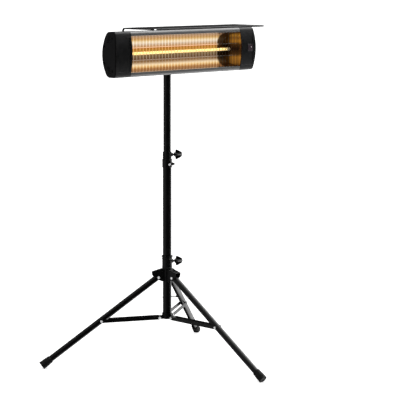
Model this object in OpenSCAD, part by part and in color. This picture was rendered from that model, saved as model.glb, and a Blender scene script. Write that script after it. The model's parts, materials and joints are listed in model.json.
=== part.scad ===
// Infrared patio heater on a folding tripod.
// The origin is on the floor under the mast. +Z is up and the heater faces -Y.

/* [Mast] */
// Diameter of the lower mast tube
lower_tube_d = 35; // [30:1:45]
// Wall of the lower mast tube
lower_tube_wall = 2; // [1.5:0.5:2]
// Diameter of the telescoping upper tube
upper_tube_d = 30; // [28:1:30]
// Wall of the upper tube
upper_tube_wall = 1.5; // [1:0.5:3]
// Height of the lower tube's lower end above the floor
lower_tube_z0 = 178; // [177:1:182]
// Height of the lower tube's upper end above the floor
lower_tube_z1 = 830; // [826:1:840]
// Height of the upper tube's lower end above the floor
upper_tube_z0 = 505; // [470:5:600]

/* [Tripod] */
// Radius of the circle that the feet stand on
foot_r = 525; // [450:5:600]
// Height of the centre of each foot's end
foot_z = 11; // [10:1:13]
// Diameter of the leg tubes
leg_d = 25; // [19:1:25]
// Radius of the circle of leg pivots
leg_pivot_r = 40; // [38:1:46]
// Height of the leg pivots
leg_pivot_z = 350; // [330:5:370]
// Radius of the circle of stay pivots on the hub
stay_pivot_r = 36; // [34:1:38]
// Height of the stays
stay_z = 182; // [178:1:186]

/* [Heater head] */
// Height of the middle of the head above the floor
head_z = 1272; // [1250:1:1300]
// Height of the head's section
head_h = 175; // [166:1:190]
// Distance from the mast's axis to the back of the head
head_back = 46; // [44:1:60]
// Distance from the mast's axis to the front of the head
head_front = 122; // [116:1:126]
// Length of the open window between the end caps
window_l = 624; // [500:2:800]
// Height of the window
window_h = 140; // [120:2:146]
// Width of each end cap at its upper and lower edge
cap_w = 82; // [76:1:100]
// How far the middle of each end cap bulges past its edges
cap_crown = 8; // [4:1:14]
// Pitch of the upright wires of the guard
wire_pitch = 17.4; // [12:0.2:24]

/* [Visor] */
// Length of the visor
visor_l = 624; // [500:2:640]
// Distance from the mast's axis to the visor's front edge
visor_front = 246; // [200:1:280]
// Height of the visor above the middle of the head
visor_rise = 101; // [96:1:110]

/* [Hidden] */
$fn = 48;
eps = 0.01;
fit_gap = 0.05;     // radial clearance of a running fit
free_gap = 0.3;     // clearance between pieces that pass each other

LEG_ANGLES = [-90, 30, 150];

// Mast
lower_r = lower_tube_d / 2;
upper_r = upper_tube_d / 2;
hub_ear_r = 6;
hub_z0 = stay_z - hub_ear_r;
hub_h = 22;
hub_r = lower_r + 3.5;
foot_plug_h = 16;
foot_plug_rim = 3;
pin_r = 3;
head_cap_r = 5.5;               // dome heads of the pivot bolts
head_cap_h = 3.5;

// Height clamp: a cup on the lower tube and a neck round the upper one
clamp_z0 = 801;
clamp_step_z = 834;
clamp_z1 = 864;
clamp_r = lower_r + 2.7;
height_knob_z = 852;
clamp_bolt_z = 814;
clamp_lug_r = 6;
clamp_lug_l = 5;
clamp_lug_a = -38;              // just beside the height knob
clamp_rivet_a = -108;
knob_angle = -30;               // the wing knobs stand between two legs
knob_boss_r = 7.5;
knob_boss_end = 24;
stud_r = 3.5;
knob_start = 30;                // distance of a wing knob from the mast's axis
knob_l = 33;
knob_span_r = 20;
knob_flange_r = 8.5;
knob_core_r = 6.5;
knob_wings = 4;
wing_t = 6;
wing_tip_r = 8;
lock_pin_z = 265;
lock_pin_r = 1.6;
lock_pin_end = 40;

// Tripod
stay_t = 3;
stay_h = 14;
half_gap = leg_d / 2 + free_gap;              // inner face of the stays and of the crown's cheeks
leg_spread = atan((foot_r - leg_pivot_r) / (leg_pivot_z - foot_z));
leg_l = (leg_pivot_z - foot_z) / cos(leg_spread);
rivet_t = (leg_pivot_z - stay_z) / cos(leg_spread);
stay_l = leg_pivot_r + rivet_t * sin(leg_spread) - stay_pivot_r;
leg_wall = 1.5;
leg_top = 10;                                 // tube above the pivot
foot_cap_r = 17;
foot_cap_l = 42;
collar_z0 = 383;
collar_z1 = 437;
collar_r = lower_r + 2.7;
collar_knob_z = 414;
collar_lip = 3;
collar_lip_h = 4;
crown_t = 2.5;
crown_z0 = 352;
crown_tip_r = 61;
crown_tip_z = 372;
foot_mouth_h = 5;

// Head section, seen along X: four arcs that run into one another
back_r = 200;
corner_r = 20;
lip_r = 12;
front_r = 330;
shell_t = 1.6;
cap_t = 3;
seal_t = 1;
half_window = window_l / 2;
cap_end = half_window + cap_w;
crown_r = (pow(head_h / 2, 2) + pow(cap_crown, 2)) / (2 * cap_crown);
back_c = [-head_back - back_r, 0];
front_c = [-head_front + front_r, 0];
corner_c = [back_c[0] + sqrt(pow(back_r - corner_r, 2) - pow(head_h / 2 - corner_r, 2)),
            head_h / 2 - corner_r];
lip_c = [front_c[0] - sqrt(pow(front_r - lip_r, 2) - pow(head_h / 2 - lip_r, 2)),
         head_h / 2 - lip_r];
corner_a = atan2(corner_c[1], corner_c[0] - back_c[0]);
lip_a = 180 - atan2(lip_c[1], front_c[0] - lip_c[0]);
CAP_SCREWS = [[-100, 62], [-100, -62], [-59, 32], [-59, -32]];   // y and z on the end faces
cap_screw_r = 2;
cap_screw_head_r = 4;
cap_panel_h = 128;
cap_panel_depth = 1;
cap_web_t = 2;
vent_z = 47;
vent_pitch = 6;
vent_h = 2.6;

// Reflector: a trough round the heat tube
tube_y = -76;
tube_r = 6.5;
tube_half = 297.5;
filament_half = 268;
holder_x = 291;                 // the tube's holders start behind the slanted end plates
trough_back = -58;
trough_t = 0.8;
trough_lip_y = -head_front + 15.5;
end_plate_back = 260;
end_plate_front = half_window - 1;
grille_y = -head_front + 11.5;
wire_r = 0.9;
cross_wire_r = 1.1;

// Tilt joint behind the head
tilt_y = -31;
tilt_r = 4;
lug_half = 10;
lug_r = 9;
ear_t = 4;
ear_x0 = lug_half + free_gap;
socket_z0 = 1200;
socket_z1 = 1262;
socket_r = upper_r + 4;
socket_knob_z = 1222;
saddle_y = -42.8;               // rear face of the bracket's saddle

// Visor
visor_t = 1.5;
visor_bend_r = 14;
visor_back = 64;
visor_hem = 2.5;
VISOR_TABS = [[5 - visor_l / 2, 10], [-80, 24], [80, 24], [visor_l / 2 - 5, 10]];   // middle and width
visor_screw_r = 2;
visor_screw_a = 17;             // angle up the round back at which the visor is screwed on

// Pieces of the right-hand end cap, measured from the middle of the head
gland_x = half_window + 47;
gland_z = -34;
gland_thread_r = 8;
gland_bore_r = 4;
gland_y0 = -62;
gland_seat = -head_back;
gland_nut_h = 5;
lens_x = half_window + 55;
lens_z = 5;
lens_w = 28;
lens_h = 27;
switch_y = -77;
switch_w = 14;
switch_h = 22;
switch_pin_r = 1.5;

function arc_points(c, r, a0, a1, n) =
    [for (i = [0:n]) let (a = a0 + (a1 - a0) * i / n) [c[0] + r * cos(a), c[1] + r * sin(a)]];
function mirrored(points) = [for (i = [len(points) - 1:-1:0]) [points[i][0], -points[i][1]]];
function section_half(w) = concat(
    arc_points(back_c, back_r - w, 0, corner_a, 14),
    arc_points(corner_c, corner_r - w, corner_a, 90, 8),
    arc_points(lip_c, lip_r - w, 90, lip_a, 8),
    arc_points(front_c, front_r - w, lip_a, 180, 6));

// Turns a drawing in the plane of Y and Z into a bar along X
module along_x(x0, x1) {
    translate([x0, 0, 0])
        rotate([90, 0, 90])
            linear_extrude(x1 - x0)
                children();
}

module head_section(w = 0) {
    polygon(concat(section_half(w), mirrored(section_half(w))));
}

module at_head() {
    translate([0, 0, head_z])
        children();
}

module tube(r, wall, z0, z1) {
    translate([0, 0, z0])
        difference() {
            cylinder(r = r, h = z1 - z0);
            translate([0, 0, -1])
                cylinder(r = r - wall, h = z1 - z0 + 2);
        }
}

// Round bars along X and along Y
module bar_x(r, x0, x1) {
    translate([x0, 0, 0])
        rotate([0, 90, 0])
            cylinder(r = r, h = x1 - x0);
}

module bar_y(r, y0, y1) {
    translate([0, y0, 0])
        rotate([-90, 0, 0])
            cylinder(r = r, h = y1 - y0);
}

// A bolt across a pivot, with a dome head at each end
module pivot_bolt(half) {
    bar_y(pin_r, -half, half);
    for (side = [0, 1])
        mirror([0, side, 0])
            translate([0, half, 0])
                rotate([-90, 0, 0])
                    dome(head_cap_r, head_cap_h);
}

// A shallow dome on a short rim
module dome(r, h) {
    rim = h * 0.35;
    ball_r = (r * r + pow(h - rim, 2)) / (2 * (h - rim));
    intersection() {
        translate([0, 0, -0.5])
            cylinder(r = r, h = h + 1);
        translate([0, 0, h - ball_r])
            sphere(r = ball_r);
        translate([-r, -r, 0])
            cube([2 * r, 2 * r, h + 1]);
    }
}

// A wing knob with wings that taper to its outer end, along +X
module wing_knob() {
    bar_x(knob_flange_r, 0, wing_t);
    bar_x(knob_core_r, wing_t, knob_l);
    for (k = [0:knob_wings - 1])
        rotate([360 / knob_wings * k, 0, 0])
            translate([0, wing_t / 2, 0])
                rotate([90, 0, 0])
                    linear_extrude(wing_t)
                        polygon([[0, 0], [0, knob_span_r - 3], [2, knob_span_r], [8, knob_span_r],
                                 [knob_l - 3, wing_tip_r], [knob_l - 1, wing_tip_r - 3], [knob_l - 1, 0]]);
}

// A boss on a collar that a wing knob's stud screws through
module knob_boss(inner_r) {
    difference() {
        bar_x(knob_boss_r, inner_r, knob_boss_end);
        bar_x(stud_r, inner_r - 1, knob_boss_end + 1);
    }
}

module at_knob(z) {
    translate([0, 0, z])
        rotate([0, 0, knob_angle])
            children();
}

module on_leg(i) {
    rotate([0, 0, LEG_ANGLES[i]])
        translate([leg_pivot_r, 0, leg_pivot_z])
            rotate([0, -leg_spread, 0])
                children();
}

module on_stay(i) {
    rotate([0, 0, LEG_ANGLES[i]])
        translate([stay_pivot_r, 0, stay_z])
            children();
}

// Mast

module lower_tube() {
    color("#1c1c1e")
        difference() {
            tube(lower_r, lower_tube_wall, lower_tube_z0, lower_tube_z1);
            at_knob(lock_pin_z)
                bar_x(lock_pin_r + 0.1, -lower_r - 1, lower_r + 1);
        }
}

module bottom_hub() {
    color("#202022")
        difference() {
            union() {
                translate([0, 0, hub_z0])
                    cylinder(r = hub_r, h = hub_h);
                for (i = [0:2])
                    on_stay(i)
                        hub_ear();
            }
            translate([0, 0, hub_z0 - 1])
                cylinder(r = lower_r, h = hub_h + 2);
            for (i = [0:2])
                on_stay(i)
                    bar_y(pin_r, -leg_d, leg_d);
        }
}

module hub_ear() {
    inward = stay_pivot_r - lower_r - 1.5;
    bar_y(hub_ear_r, -leg_d / 2, leg_d / 2);
    translate([-inward, -leg_d / 2, -hub_ear_r + 0.4])
        cube([inward, leg_d, 2 * hub_ear_r - 0.8]);
}

module hub_bolts() {
    color("#c9ccd0")
        for (i = [0:2])
            on_stay(i)
                pivot_bolt(half_gap + stay_t + free_gap);
}

module mast_foot_plug() {
    plug_r = lower_r - lower_tube_wall;
    color("#151516") {
        translate([0, 0, lower_tube_z0])
            cylinder(r = plug_r, h = foot_plug_h);
        translate([0, 0, lower_tube_z0 - foot_plug_rim])
            cylinder(r = lower_r, h = foot_plug_rim);
    }
}

module height_clamp() {
    color("#19191b")
        difference() {
            union() {
                translate([0, 0, clamp_z0])
                    cylinder(r = clamp_r, h = clamp_step_z - clamp_z0);
                translate([0, 0, clamp_step_z - 1])
                    cylinder(r = lower_r, h = clamp_z1 - clamp_step_z + 1);
                at_knob(height_knob_z)
                    bar_x(knob_boss_r, upper_r + 1, knob_boss_end);
                at_clamp(clamp_lug_a)
                    bar_x(clamp_lug_r, clamp_r - 3, clamp_r + clamp_lug_l);
            }
            translate([0, 0, clamp_z0 - 1])
                cylinder(r = lower_r, h = lower_tube_z1 - clamp_z0 + 1);
            translate([0, 0, clamp_z0])
                cylinder(r = upper_r + fit_gap, h = clamp_z1 - clamp_z0 + 1);
            at_knob(height_knob_z)
                bar_x(stud_r, 0, knob_boss_end + 1);
        }
}

module at_clamp(angle) {
    translate([0, 0, clamp_bolt_z])
        rotate([0, 0, angle])
            children();
}

module clamp_bolt() {
    color("#2a2a2c")
        at_clamp(clamp_lug_a)
            translate([clamp_r + clamp_lug_l, 0, 0])
                rotate([0, 90, 0])
                    cylinder(r = 4.6, h = 5, $fn = 6);
}

module clamp_rivet() {
    color("#c9ccd0")
        at_clamp(clamp_rivet_a)
            translate([clamp_r, 0, 0])
                rotate([0, 90, 0])
                    dome(4.5, 2.5);
}

module lock_pin() {
    color("#2a2a2c")
        at_knob(lock_pin_z) {
            bar_x(lock_pin_r, -lower_r - 3, lock_pin_end);
            bar_x(4, lock_pin_end - 2, lock_pin_end + 3);
        }
}

// Sliding collar that the legs hang from

module leg_collar() {
    color("#19191b")
        difference() {
            union() {
                translate([0, 0, collar_z0])
                    cylinder(r = collar_r, h = collar_z1 - collar_z0);
                translate([0, 0, collar_z1 - collar_lip_h])
                    cylinder(r = collar_r + collar_lip, h = collar_lip_h);
                at_knob(collar_knob_z)
                    bar_x(knob_boss_r, lower_r + 1, knob_boss_end + 2);
            }
            translate([0, 0, collar_z0 - 1])
                cylinder(r = lower_r + fit_gap, h = collar_z1 - collar_z0 + 2);
            at_knob(collar_knob_z)
                bar_x(stud_r, 0, knob_boss_end + 3);
        }
}

module leg_crown() {
    color("#1b1b1d")
        difference() {
            union() {
                translate([0, 0, crown_z0])
                    cylinder(r = collar_r, h = collar_z0 - crown_z0);
                for (i = [0:2])
                    rotate([0, 0, LEG_ANGLES[i]])
                        crown_arm();
            }
            translate([0, 0, crown_z0 - 40])
                cylinder(r = lower_r + fit_gap, h = 100);
            for (i = [0:2])
                rotate([0, 0, LEG_ANGLES[i]])
                    translate([leg_pivot_r, 0, leg_pivot_z])
                        bar_y(pin_r, -leg_d, leg_d);
        }
}

// An upside-down channel: two cheeks under a sloping top plate
module crown_arm() {
    inner_r = lower_r - 1;
    cheek = [[inner_r, leg_pivot_z - 19], [inner_r, collar_z0], [collar_r, collar_z0],
             [crown_tip_r, crown_tip_z], [crown_tip_r - 1, crown_tip_z - 15],
             [leg_pivot_r + 8, leg_pivot_z - 7], [leg_pivot_r, leg_pivot_z - 10]];
    plate = [[inner_r, collar_z0 - crown_t - 1], [inner_r, collar_z0],
             [collar_r, collar_z0], [crown_tip_r, crown_tip_z], [crown_tip_r, crown_tip_z - crown_t]];
    for (side = [0, 1])
        mirror([0, side, 0])
            translate([0, half_gap + crown_t, 0])
                rotate([90, 0, 0])
                    linear_extrude(crown_t)
                        polygon(cheek);
    translate([0, half_gap + crown_t / 2, 0])
        rotate([90, 0, 0])
            linear_extrude(2 * half_gap + crown_t)
                polygon(plate);
}

module crown_bolts() {
    color("#c9ccd0")
        for (i = [0:2])
            rotate([0, 0, LEG_ANGLES[i]])
                translate([leg_pivot_r, 0, leg_pivot_z])
                    pivot_bolt(half_gap + crown_t);
}

module collar_knob() {
    color("#161617")
        at_knob(collar_knob_z)
            translate([knob_start + 2, 0, 0])
                wing_knob();
}

module collar_knob_stud() {
    color("#8f9296")
        at_knob(collar_knob_z)
            bar_x(stud_r - fit_gap, lower_r + free_gap, knob_start + 2);
}

module height_knob() {
    color("#161617")
        at_knob(height_knob_z)
            translate([knob_start, 0, 0])
                wing_knob();
}

module height_knob_stud() {
    color("#8f9296")
        at_knob(height_knob_z)
            bar_x(stud_r - fit_gap, upper_r + free_gap, knob_start);
}

// Upper tube

module upper_tube() {
    color("#1c1c1e")
        tube(upper_r, upper_tube_wall, upper_tube_z0, socket_z1);
}

module upper_tube_guide() {
    color("#242426")
        difference() {
            translate([0, 0, upper_tube_z0 - 4])
                cylinder(r = lower_r - lower_tube_wall - fit_gap, h = 24);
            translate([0, 0, upper_tube_z0])
                cylinder(r = upper_r, h = 40);
        }
}

// Legs and stays

module leg_tube(i) {
    color("#1c1c1e")
        on_leg(i)
            difference() {
                tube(leg_d / 2, leg_wall, -leg_l + 6, leg_top);
                bar_y(pin_r + fit_gap, -leg_d, leg_d);
            }
}

module leg_bush(i) {
    bush_l = 26;
    color("#2b2b2d")
        on_leg(i)
            difference() {
                union() {
                    translate([0, 0, leg_top - bush_l])
                        cylinder(r = leg_d / 2 - leg_wall, h = bush_l);
                    translate([0, 0, leg_top])
                        cylinder(r = leg_d / 2, h = 1.5);
                }
                bar_y(pin_r + fit_gap, -leg_d, leg_d);
            }
}

// A rubber cap with a bead round its mouth, cut flat where it stands on the floor
module foot_cap(i) {
    mouth = -leg_l + foot_cap_l;
    color("#121213")
        difference() {
            on_leg(i)
                difference() {
                    union() {
                        translate([0, 0, -leg_l])
                            cylinder(r = foot_cap_r, h = foot_cap_l);
                        translate([0, 0, mouth])
                            cylinder(r1 = foot_cap_r, r2 = leg_d / 2 + 1.2, h = foot_mouth_h);
                    }
                    translate([0, 0, -leg_l + 6])
                        cylinder(r = leg_d / 2, h = foot_cap_l);
                }
            translate([-2 * foot_r, -2 * foot_r, -100])
                cube([4 * foot_r, 4 * foot_r, 100]);
        }
}

// A pair of flat bars, one on each side of the leg tube
module stay(i) {
    color("#1a1a1c")
        on_stay(i)
            for (side = [0, 1])
                mirror([0, side, 0])
                    difference() {
                        union() {
                            bar_y(stay_h / 2, half_gap, half_gap + stay_t);
                            translate([stay_l, 0, 0])
                                bar_y(stay_h / 2, half_gap, half_gap + stay_t);
                            translate([0, half_gap, -stay_h / 2 + 0.05])
                                cube([stay_l, stay_t, stay_h - 0.1]);
                        }
                        bar_y(pin_r + fit_gap, 0, leg_d);
                        translate([stay_l, 0, 0])
                            bar_y(pin_r, 0, leg_d);
                    }
}

module stay_rivets(i) {
    color("#c9ccd0")
        on_stay(i)
            for (side = [0, 1])
                mirror([0, side, 0])
                    translate([stay_l, half_gap, 0]) {
                        bar_y(pin_r, 0, stay_t);
                        translate([0, stay_t, 0])
                            rotate([-90, 0, 0])
                                dome(5, 2.6);
                    }
}

// Swivelling socket on the mast, and the tilt joint

module mast_socket() {
    top_t = 4;
    // side view of the arm from the lug to the socket, from the tilt axis
    arm = [[-5, -7], [12, -34], [-tilt_y, -34], [-tilt_y, -6], [16, -6], [6, 6], [0, 8.9]];
    color("#1b1b1d")
        difference() {
            union() {
                translate([0, 0, socket_z0])
                    cylinder(r = socket_r, h = socket_z1 - socket_z0 + top_t);
                translate([0, tilt_y, head_z])
                    bar_x(lug_r, -lug_half, lug_half);
                translate([0, tilt_y, head_z])
                    along_x(-lug_half, lug_half)
                        polygon(arm);
                translate([0, 0, socket_knob_z])
                    bar_y(knob_boss_r, upper_r + 1, knob_boss_end + 2);
            }
            translate([0, 0, socket_z0 - 1])
                cylinder(r = upper_r + fit_gap, h = socket_z1 - socket_z0 + 1 + free_gap);
            translate([0, tilt_y, head_z])
                bar_x(tilt_r + fit_gap, -50, 50);
            translate([0, 0, socket_knob_z])
                bar_y(stud_r, 0, knob_boss_end + 3);
        }
}

module socket_knob() {
    color("#161617")
        translate([0, 0, socket_knob_z])
            rotate([0, 0, 90]) {
                bar_x(stud_r - fit_gap, upper_r + free_gap, knob_start + 1);
                translate([knob_start, 0, 0])
                    wing_knob();
            }
}

// A block from the round back of the head to the saddle's flat rear face
module saddle(x0, x1, half_z) {
    along_x(x0, x1)
        difference() {
            translate([-60, -half_z])
                square([60 + saddle_y, 2 * half_z]);
            head_section();
        }
}

// Two ears on a saddle that is low in the middle, where the head tilts past the socket's arm
module rear_bracket() {
    ear_x1 = ear_x0 + ear_t;
    color("#1b1b1d")
        at_head()
            difference() {
                union() {
                    saddle(-16, 16, 12);
                    for (side = [0, 1])
                        mirror([side, 0, 0]) {
                            saddle(15, 48, 32);
                            translate([0, tilt_y, 0])
                                bar_x(lug_r + 1, ear_x0, ear_x1);
                            translate([ear_x0, saddle_y - 1, -lug_r - 0.6])
                                cube([ear_t, tilt_y - saddle_y + 1, 2 * lug_r + 1.2]);
                        }
                }
                translate([0, tilt_y, 0])
                    bar_x(tilt_r, -50, 50);
                for (x = [-38, 38], z = [-20, 20])
                    translate([x, 0, z])
                        bar_y(2.5, -80, 0);
            }
}

module bracket_screws() {
    color("#a9acb0")
        at_head()
            for (x = [-38, 38], z = [-20, 20])
                translate([x, saddle_y, z]) {
                    bar_y(2.5, -8, 0);
                    rotate([-90, 0, 0])
                        dome(4.5, 2.8);
                }
}

module tilt_bolt() {
    head_x = ear_x0 + ear_t;
    color("#a9acb0")
        translate([0, tilt_y, head_z]) {
            bar_x(tilt_r, -head_x, head_x + 20);
            translate([-head_x - 5, 0, 0])
                rotate([0, 90, 0])
                    cylinder(r = 7.2, h = 5, $fn = 6);
        }
}

module tilt_knob() {
    start_x = ear_x0 + ear_t + free_gap;
    color("#161617")
        translate([start_x, tilt_y, head_z])
            difference() {
                union() {
                    bar_x(9, 0, 22);
                    for (k = [0:5])
                        rotate([60 * k, 0, 0])
                            translate([0, 0, 8])
                                bar_x(2.5, 2, 21.5);
                }
                bar_x(tilt_r + fit_gap, -1, 20.5);
            }
}

// Housing of the head

module body_shell() {
    color("#2a2a2d")
        at_head()
            difference() {
                along_x(-half_window + seal_t, half_window - seal_t)
                    difference() {
                        head_section();
                        head_section(shell_t);
                        translate([-head_front - 10, -window_h / 2])
                            square([24, window_h]);
                    }
                for (x = [-38, 38], z = [-20, 20])
                    translate([x, 0, z])
                        bar_y(2.5, -80, 0);
                visor_screw_holes();
            }
}

// The solid outline of an end cap on the +X side, shrunk inwards by w, with its crowned end
module cap_form(w) {
    intersection() {
        along_x(half_window, cap_end + cap_crown + 5)
            head_section(w);
        translate([cap_end + cap_crown - crown_r - w, 0, 0])
            bar_y(crown_r, -200, 50, $fn = 360);
    }
}

// The shallow panel in the front of a cap
module cap_panel() {
    x0 = half_window + 8;
    x1 = cap_end - 10;
    difference() {
        translate([x0, -head_front - 5, -cap_panel_h / 2])
            cube([x1 - x0, 40, cap_panel_h]);
        along_x(half_window - 1, cap_end + 20)
            head_section(cap_panel_depth);
    }
}

// A wall beside the window, in front of the reflector's end
module cap_web() {
    half_z = window_h / 2 + 5;
    along_x(half_window, half_window + cap_web_t)
        intersection() {
            head_section(cap_panel_depth + 1);
            translate([-head_front, -half_z])
                square([trough_lip_y + head_front + 3, 2 * half_z]);
        }
}

// Screw holes and vent slots in the crowned end
module cap_holes() {
    for (s = CAP_SCREWS)
        translate([0, s[0], s[1]]) {
            bar_x(cap_screw_r, cap_end - 10, cap_end + 20);
            bar_x(cap_screw_head_r + 0.2, cap_end - 0.5, cap_end + 20);
        }
    for (side = [-1, 1], k = [0:4])
        translate([cap_end - 10, -90, side * (vent_z + vent_pitch * k) - vent_h / 2])
            cube([30, 20 - 2 * k, vent_h]);
}

// Openings for the receiver's window, the cable gland and the switch
module control_holes() {
    translate([lens_x - lens_w / 2, -head_front - 5, lens_z - lens_h / 2])
        cube([lens_w, 20, lens_h]);
    translate([gland_x, 0, gland_z])
        bar_y(gland_thread_r, -70, 0);
    translate([cap_end - 10, switch_y - switch_w / 2, -switch_h / 2])
        cube([40, switch_w, switch_h]);
}

module end_cap(is_right) {
    color("#242426")
        difference() {
            union() {
                difference() {
                    cap_form(0);
                    along_x(half_window - 1, cap_end - 4)
                        head_section(cap_t);
                    cap_panel();
                }
                cap_web();
            }
            cap_holes();
            if (is_right)
                control_holes();
        }
}

module end_cap_left() {
    at_head()
        mirror([1, 0, 0])
            end_cap(false);
}

module end_cap_right() {
    at_head()
        end_cap(true);
}

module end_seal() {
    color("#0f0f10")
        along_x(half_window - seal_t, half_window)
            difference() {
                head_section(0.2);
                head_section(cap_t);
                translate([-head_front - 10, -window_h / 2])
                    square([24, window_h]);
            }
}

module end_seal_left() {
    at_head()
        mirror([1, 0, 0])
            end_seal();
}

module end_seal_right() {
    at_head()
        end_seal();
}

module cap_screws() {
    seat = cap_end - 0.5;
    color("#3a3b3e")
        at_head()
            for (side = [0, 1], s = CAP_SCREWS)
                mirror([side, 0, 0])
                    translate([0, s[0], s[1]])
                        difference() {
                            union() {
                                bar_x(cap_screw_r, cap_end - 14, seat);
                                bar_x(cap_screw_head_r, seat, seat + 2);
                            }
                            for (turn = [0, 90])
                                rotate([turn, 0, 0])
                                    translate([seat + 1, -2.6, -0.5])
                                        cube([2, 5.2, 1]);
                        }
}

// Reflector, heat tube and guard

function trough_half(w) = [
    [trough_lip_y, window_h / 2 - 1 + w], [-80, 60 + w], [-66, 42 + w],
    [trough_back + w, 22], [trough_back + w, 0]];

module trough_inside(w) {
    polygon(concat(trough_half(w), mirrored(trough_half(w))));
}

module reflector() {
    color("#c8963c")
        at_head()
            along_x(-half_window + seal_t + 0.2, half_window - seal_t - 0.2)
                difference() {
                    trough_inside(trough_t);
                    trough_inside(0);
                    translate([trough_lip_y - 5, -window_h])
                        square([5, 2 * window_h]);
                }
}

// A plate that slants from the back of the trough out to the edge of the window
module reflector_end() {
    slant = atan2(end_plate_front - end_plate_back, trough_back - trough_lip_y);
    difference() {
        intersection() {
            along_x(end_plate_back - 20, end_plate_front - 2)
                trough_inside(-0.1);
            translate([end_plate_back, trough_back, -window_h])
                rotate([0, 0, slant])
                    translate([0, -150, 0])
                        cube([trough_t, 160, 2 * window_h]);
        }
        translate([0, tube_y, 0])
            bar_x(tube_r + 1, 200, 400);
    }
}

module reflector_ends() {
    color("#d0a050")
        at_head()
            for (side = [0, 1])
                mirror([side, 0, 0])
                    reflector_end();
}

module heat_tube() {
    color("#ffd890")
        at_head()
            translate([0, tube_y, 0])
                difference() {
                    bar_x(tube_r, -tube_half, tube_half);
                    bar_x(tube_r - 1.2, -tube_half - 1, tube_half + 1);
                }
}

module filament() {
    color("#ffb040")
        at_head()
            translate([0, tube_y, 0])
                bar_x(3, -filament_half, filament_half);
}

module tube_holders() {
    holder = 17;
    color("#e6e2d8")
        at_head()
            for (side = [0, 1])
                mirror([side, 0, 0])
                    difference() {
                        translate([holder_x, tube_y - holder / 2, -holder / 2])
                            cube([24, holder, holder]);
                        translate([0, tube_y, 0])
                            bar_x(tube_r, holder_x - 1, tube_half);
                    }
}

module guard_grille() {
    wires = floor((window_l - 12) / wire_pitch / 2);
    half_wire = window_h / 2 + 3;
    color("#8c8c88")
        at_head() {
            for (k = [-wires:wires])
                translate([k * wire_pitch, grille_y, -half_wire])
                    cylinder(r = wire_r, h = 2 * half_wire, $fn = 16);
            for (z = [-half_wire + 3, 24, -24, half_wire - 3])
                translate([0, grille_y + 1.5, z])
                    bar_x(cross_wire_r, -half_window + 3, half_window - 3);
        }
}

// Visor

// On the round back of the head, with +Y pointing out of it
module on_back() {
    translate([0, back_c[0], 0])
        rotate([visor_screw_a, 0, 0])
            translate([0, back_r, 0])
                children();
}

module visor_screw_holes() {
    for (tab = VISOR_TABS)
        translate([tab[0], 0, 0])
            on_back()
                bar_y(visor_screw_r, -5, 5);
}

// Side view of a tab: bent down from the visor on to the round back of the head
module visor_tab() {
    outer = visor_bend_r;
    bend_c = [-visor_back - outer, visor_rise - outer];
    difference() {
        polygon(concat(
            arc_points(bend_c, outer, 0, 90, 10),
            [[bend_c[0] - 5, visor_rise], [bend_c[0] - 5, visor_rise - visor_t]],
            arc_points(bend_c, outer - visor_t, 90, 0, 10),
            [[-visor_back - visor_t, 70], [-visor_back, 70]]));
        head_section();
    }
    intersection() {
        difference() {
            head_section(-visor_t);
            head_section();
        }
        translate([-visor_back - visor_t + eps, 46])
            square([60, 60]);
    }
}

// A flat sheet with a hem along its front, on four tabs
module visor() {
    color("#222224")
        at_head()
            difference() {
                union() {
                    along_x(-visor_l / 2, visor_l / 2) {
                        translate([-visor_front, visor_rise - visor_t])
                            square([visor_front - visor_back - visor_bend_r, visor_t]);
                        translate([-visor_front, visor_rise - visor_t - visor_hem])
                            square([visor_t, visor_hem + visor_t]);
                    }
                    for (tab = VISOR_TABS)
                        along_x(tab[0] - tab[1] / 2, tab[0] + tab[1] / 2)
                            visor_tab();
                }
                visor_screw_holes();
            }
}

module visor_screws() {
    color("#a9acb0")
        at_head()
            for (tab = VISOR_TABS)
                translate([tab[0], 0, 0])
                    on_back() {
                        bar_y(visor_screw_r, -6, visor_t);
                        translate([0, visor_t, 0])
                            rotate([-90, 0, 0])
                                dome(4, 2.5);
                    }
}

// Electrics in the right-hand end cap

module cable_gland() {
    color("#1a1a1b")
        at_head()
            translate([gland_x, 0, gland_z])
                difference() {
                    union() {
                        bar_y(gland_thread_r, gland_y0, gland_seat);
                        translate([0, gland_seat, 0])
                            rotate([-90, 0, 0])
                                cylinder(r = 11, h = gland_nut_h, $fn = 6);
                        bar_y(8.5, gland_seat + gland_nut_h, -28);
                    }
                    bar_y(gland_bore_r, gland_y0 - 1, 0);
                }
}

module control_board() {
    color("#1f6b3a")
        at_head() {
            translate([half_window + 6, -98, -46])
                cube([54, 1.6, 92]);
            translate([half_window + 12, -96.4, 16])
                cube([20, 12, 24]);
            translate([half_window + 40, -96.4, 26])
                bar_y(6, 0, 18);
            translate([half_window + 14, -96.4, -38])
                cube([34, 5, 16]);
        }
}

module terminal_block() {
    color("#e8e4da")
        at_head()
            difference() {
                translate([half_window + 8, -80, 38])
                    cube([44, 16, 14]);
                for (k = [0:2])
                    translate([half_window + 15 + 15 * k, -72, 46])
                        cylinder(r = 3, h = 20);
            }
}

module lead_wires() {
    wire_y = trough_back + 5;
    color("#c9c3b4")
        at_head() {
            translate([0, wire_y, 6])
                bar_x(1.5, -holder_x - 12, half_window + 20);
            translate([0, wire_y, -6])
                bar_x(1.5, holder_x + 12, half_window + 20);
        }
}

module receiver_lens() {
    color("#301018")
        at_head()
            intersection() {
                translate([lens_x - lens_w / 2 + 0.2, -head_front - 2, lens_z - lens_h / 2 + 0.2])
                    cube([lens_w - 0.4, 8.2, lens_h - 0.4]);
                along_x(half_window, cap_end)
                    head_section(0.4);
            }
}

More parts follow.
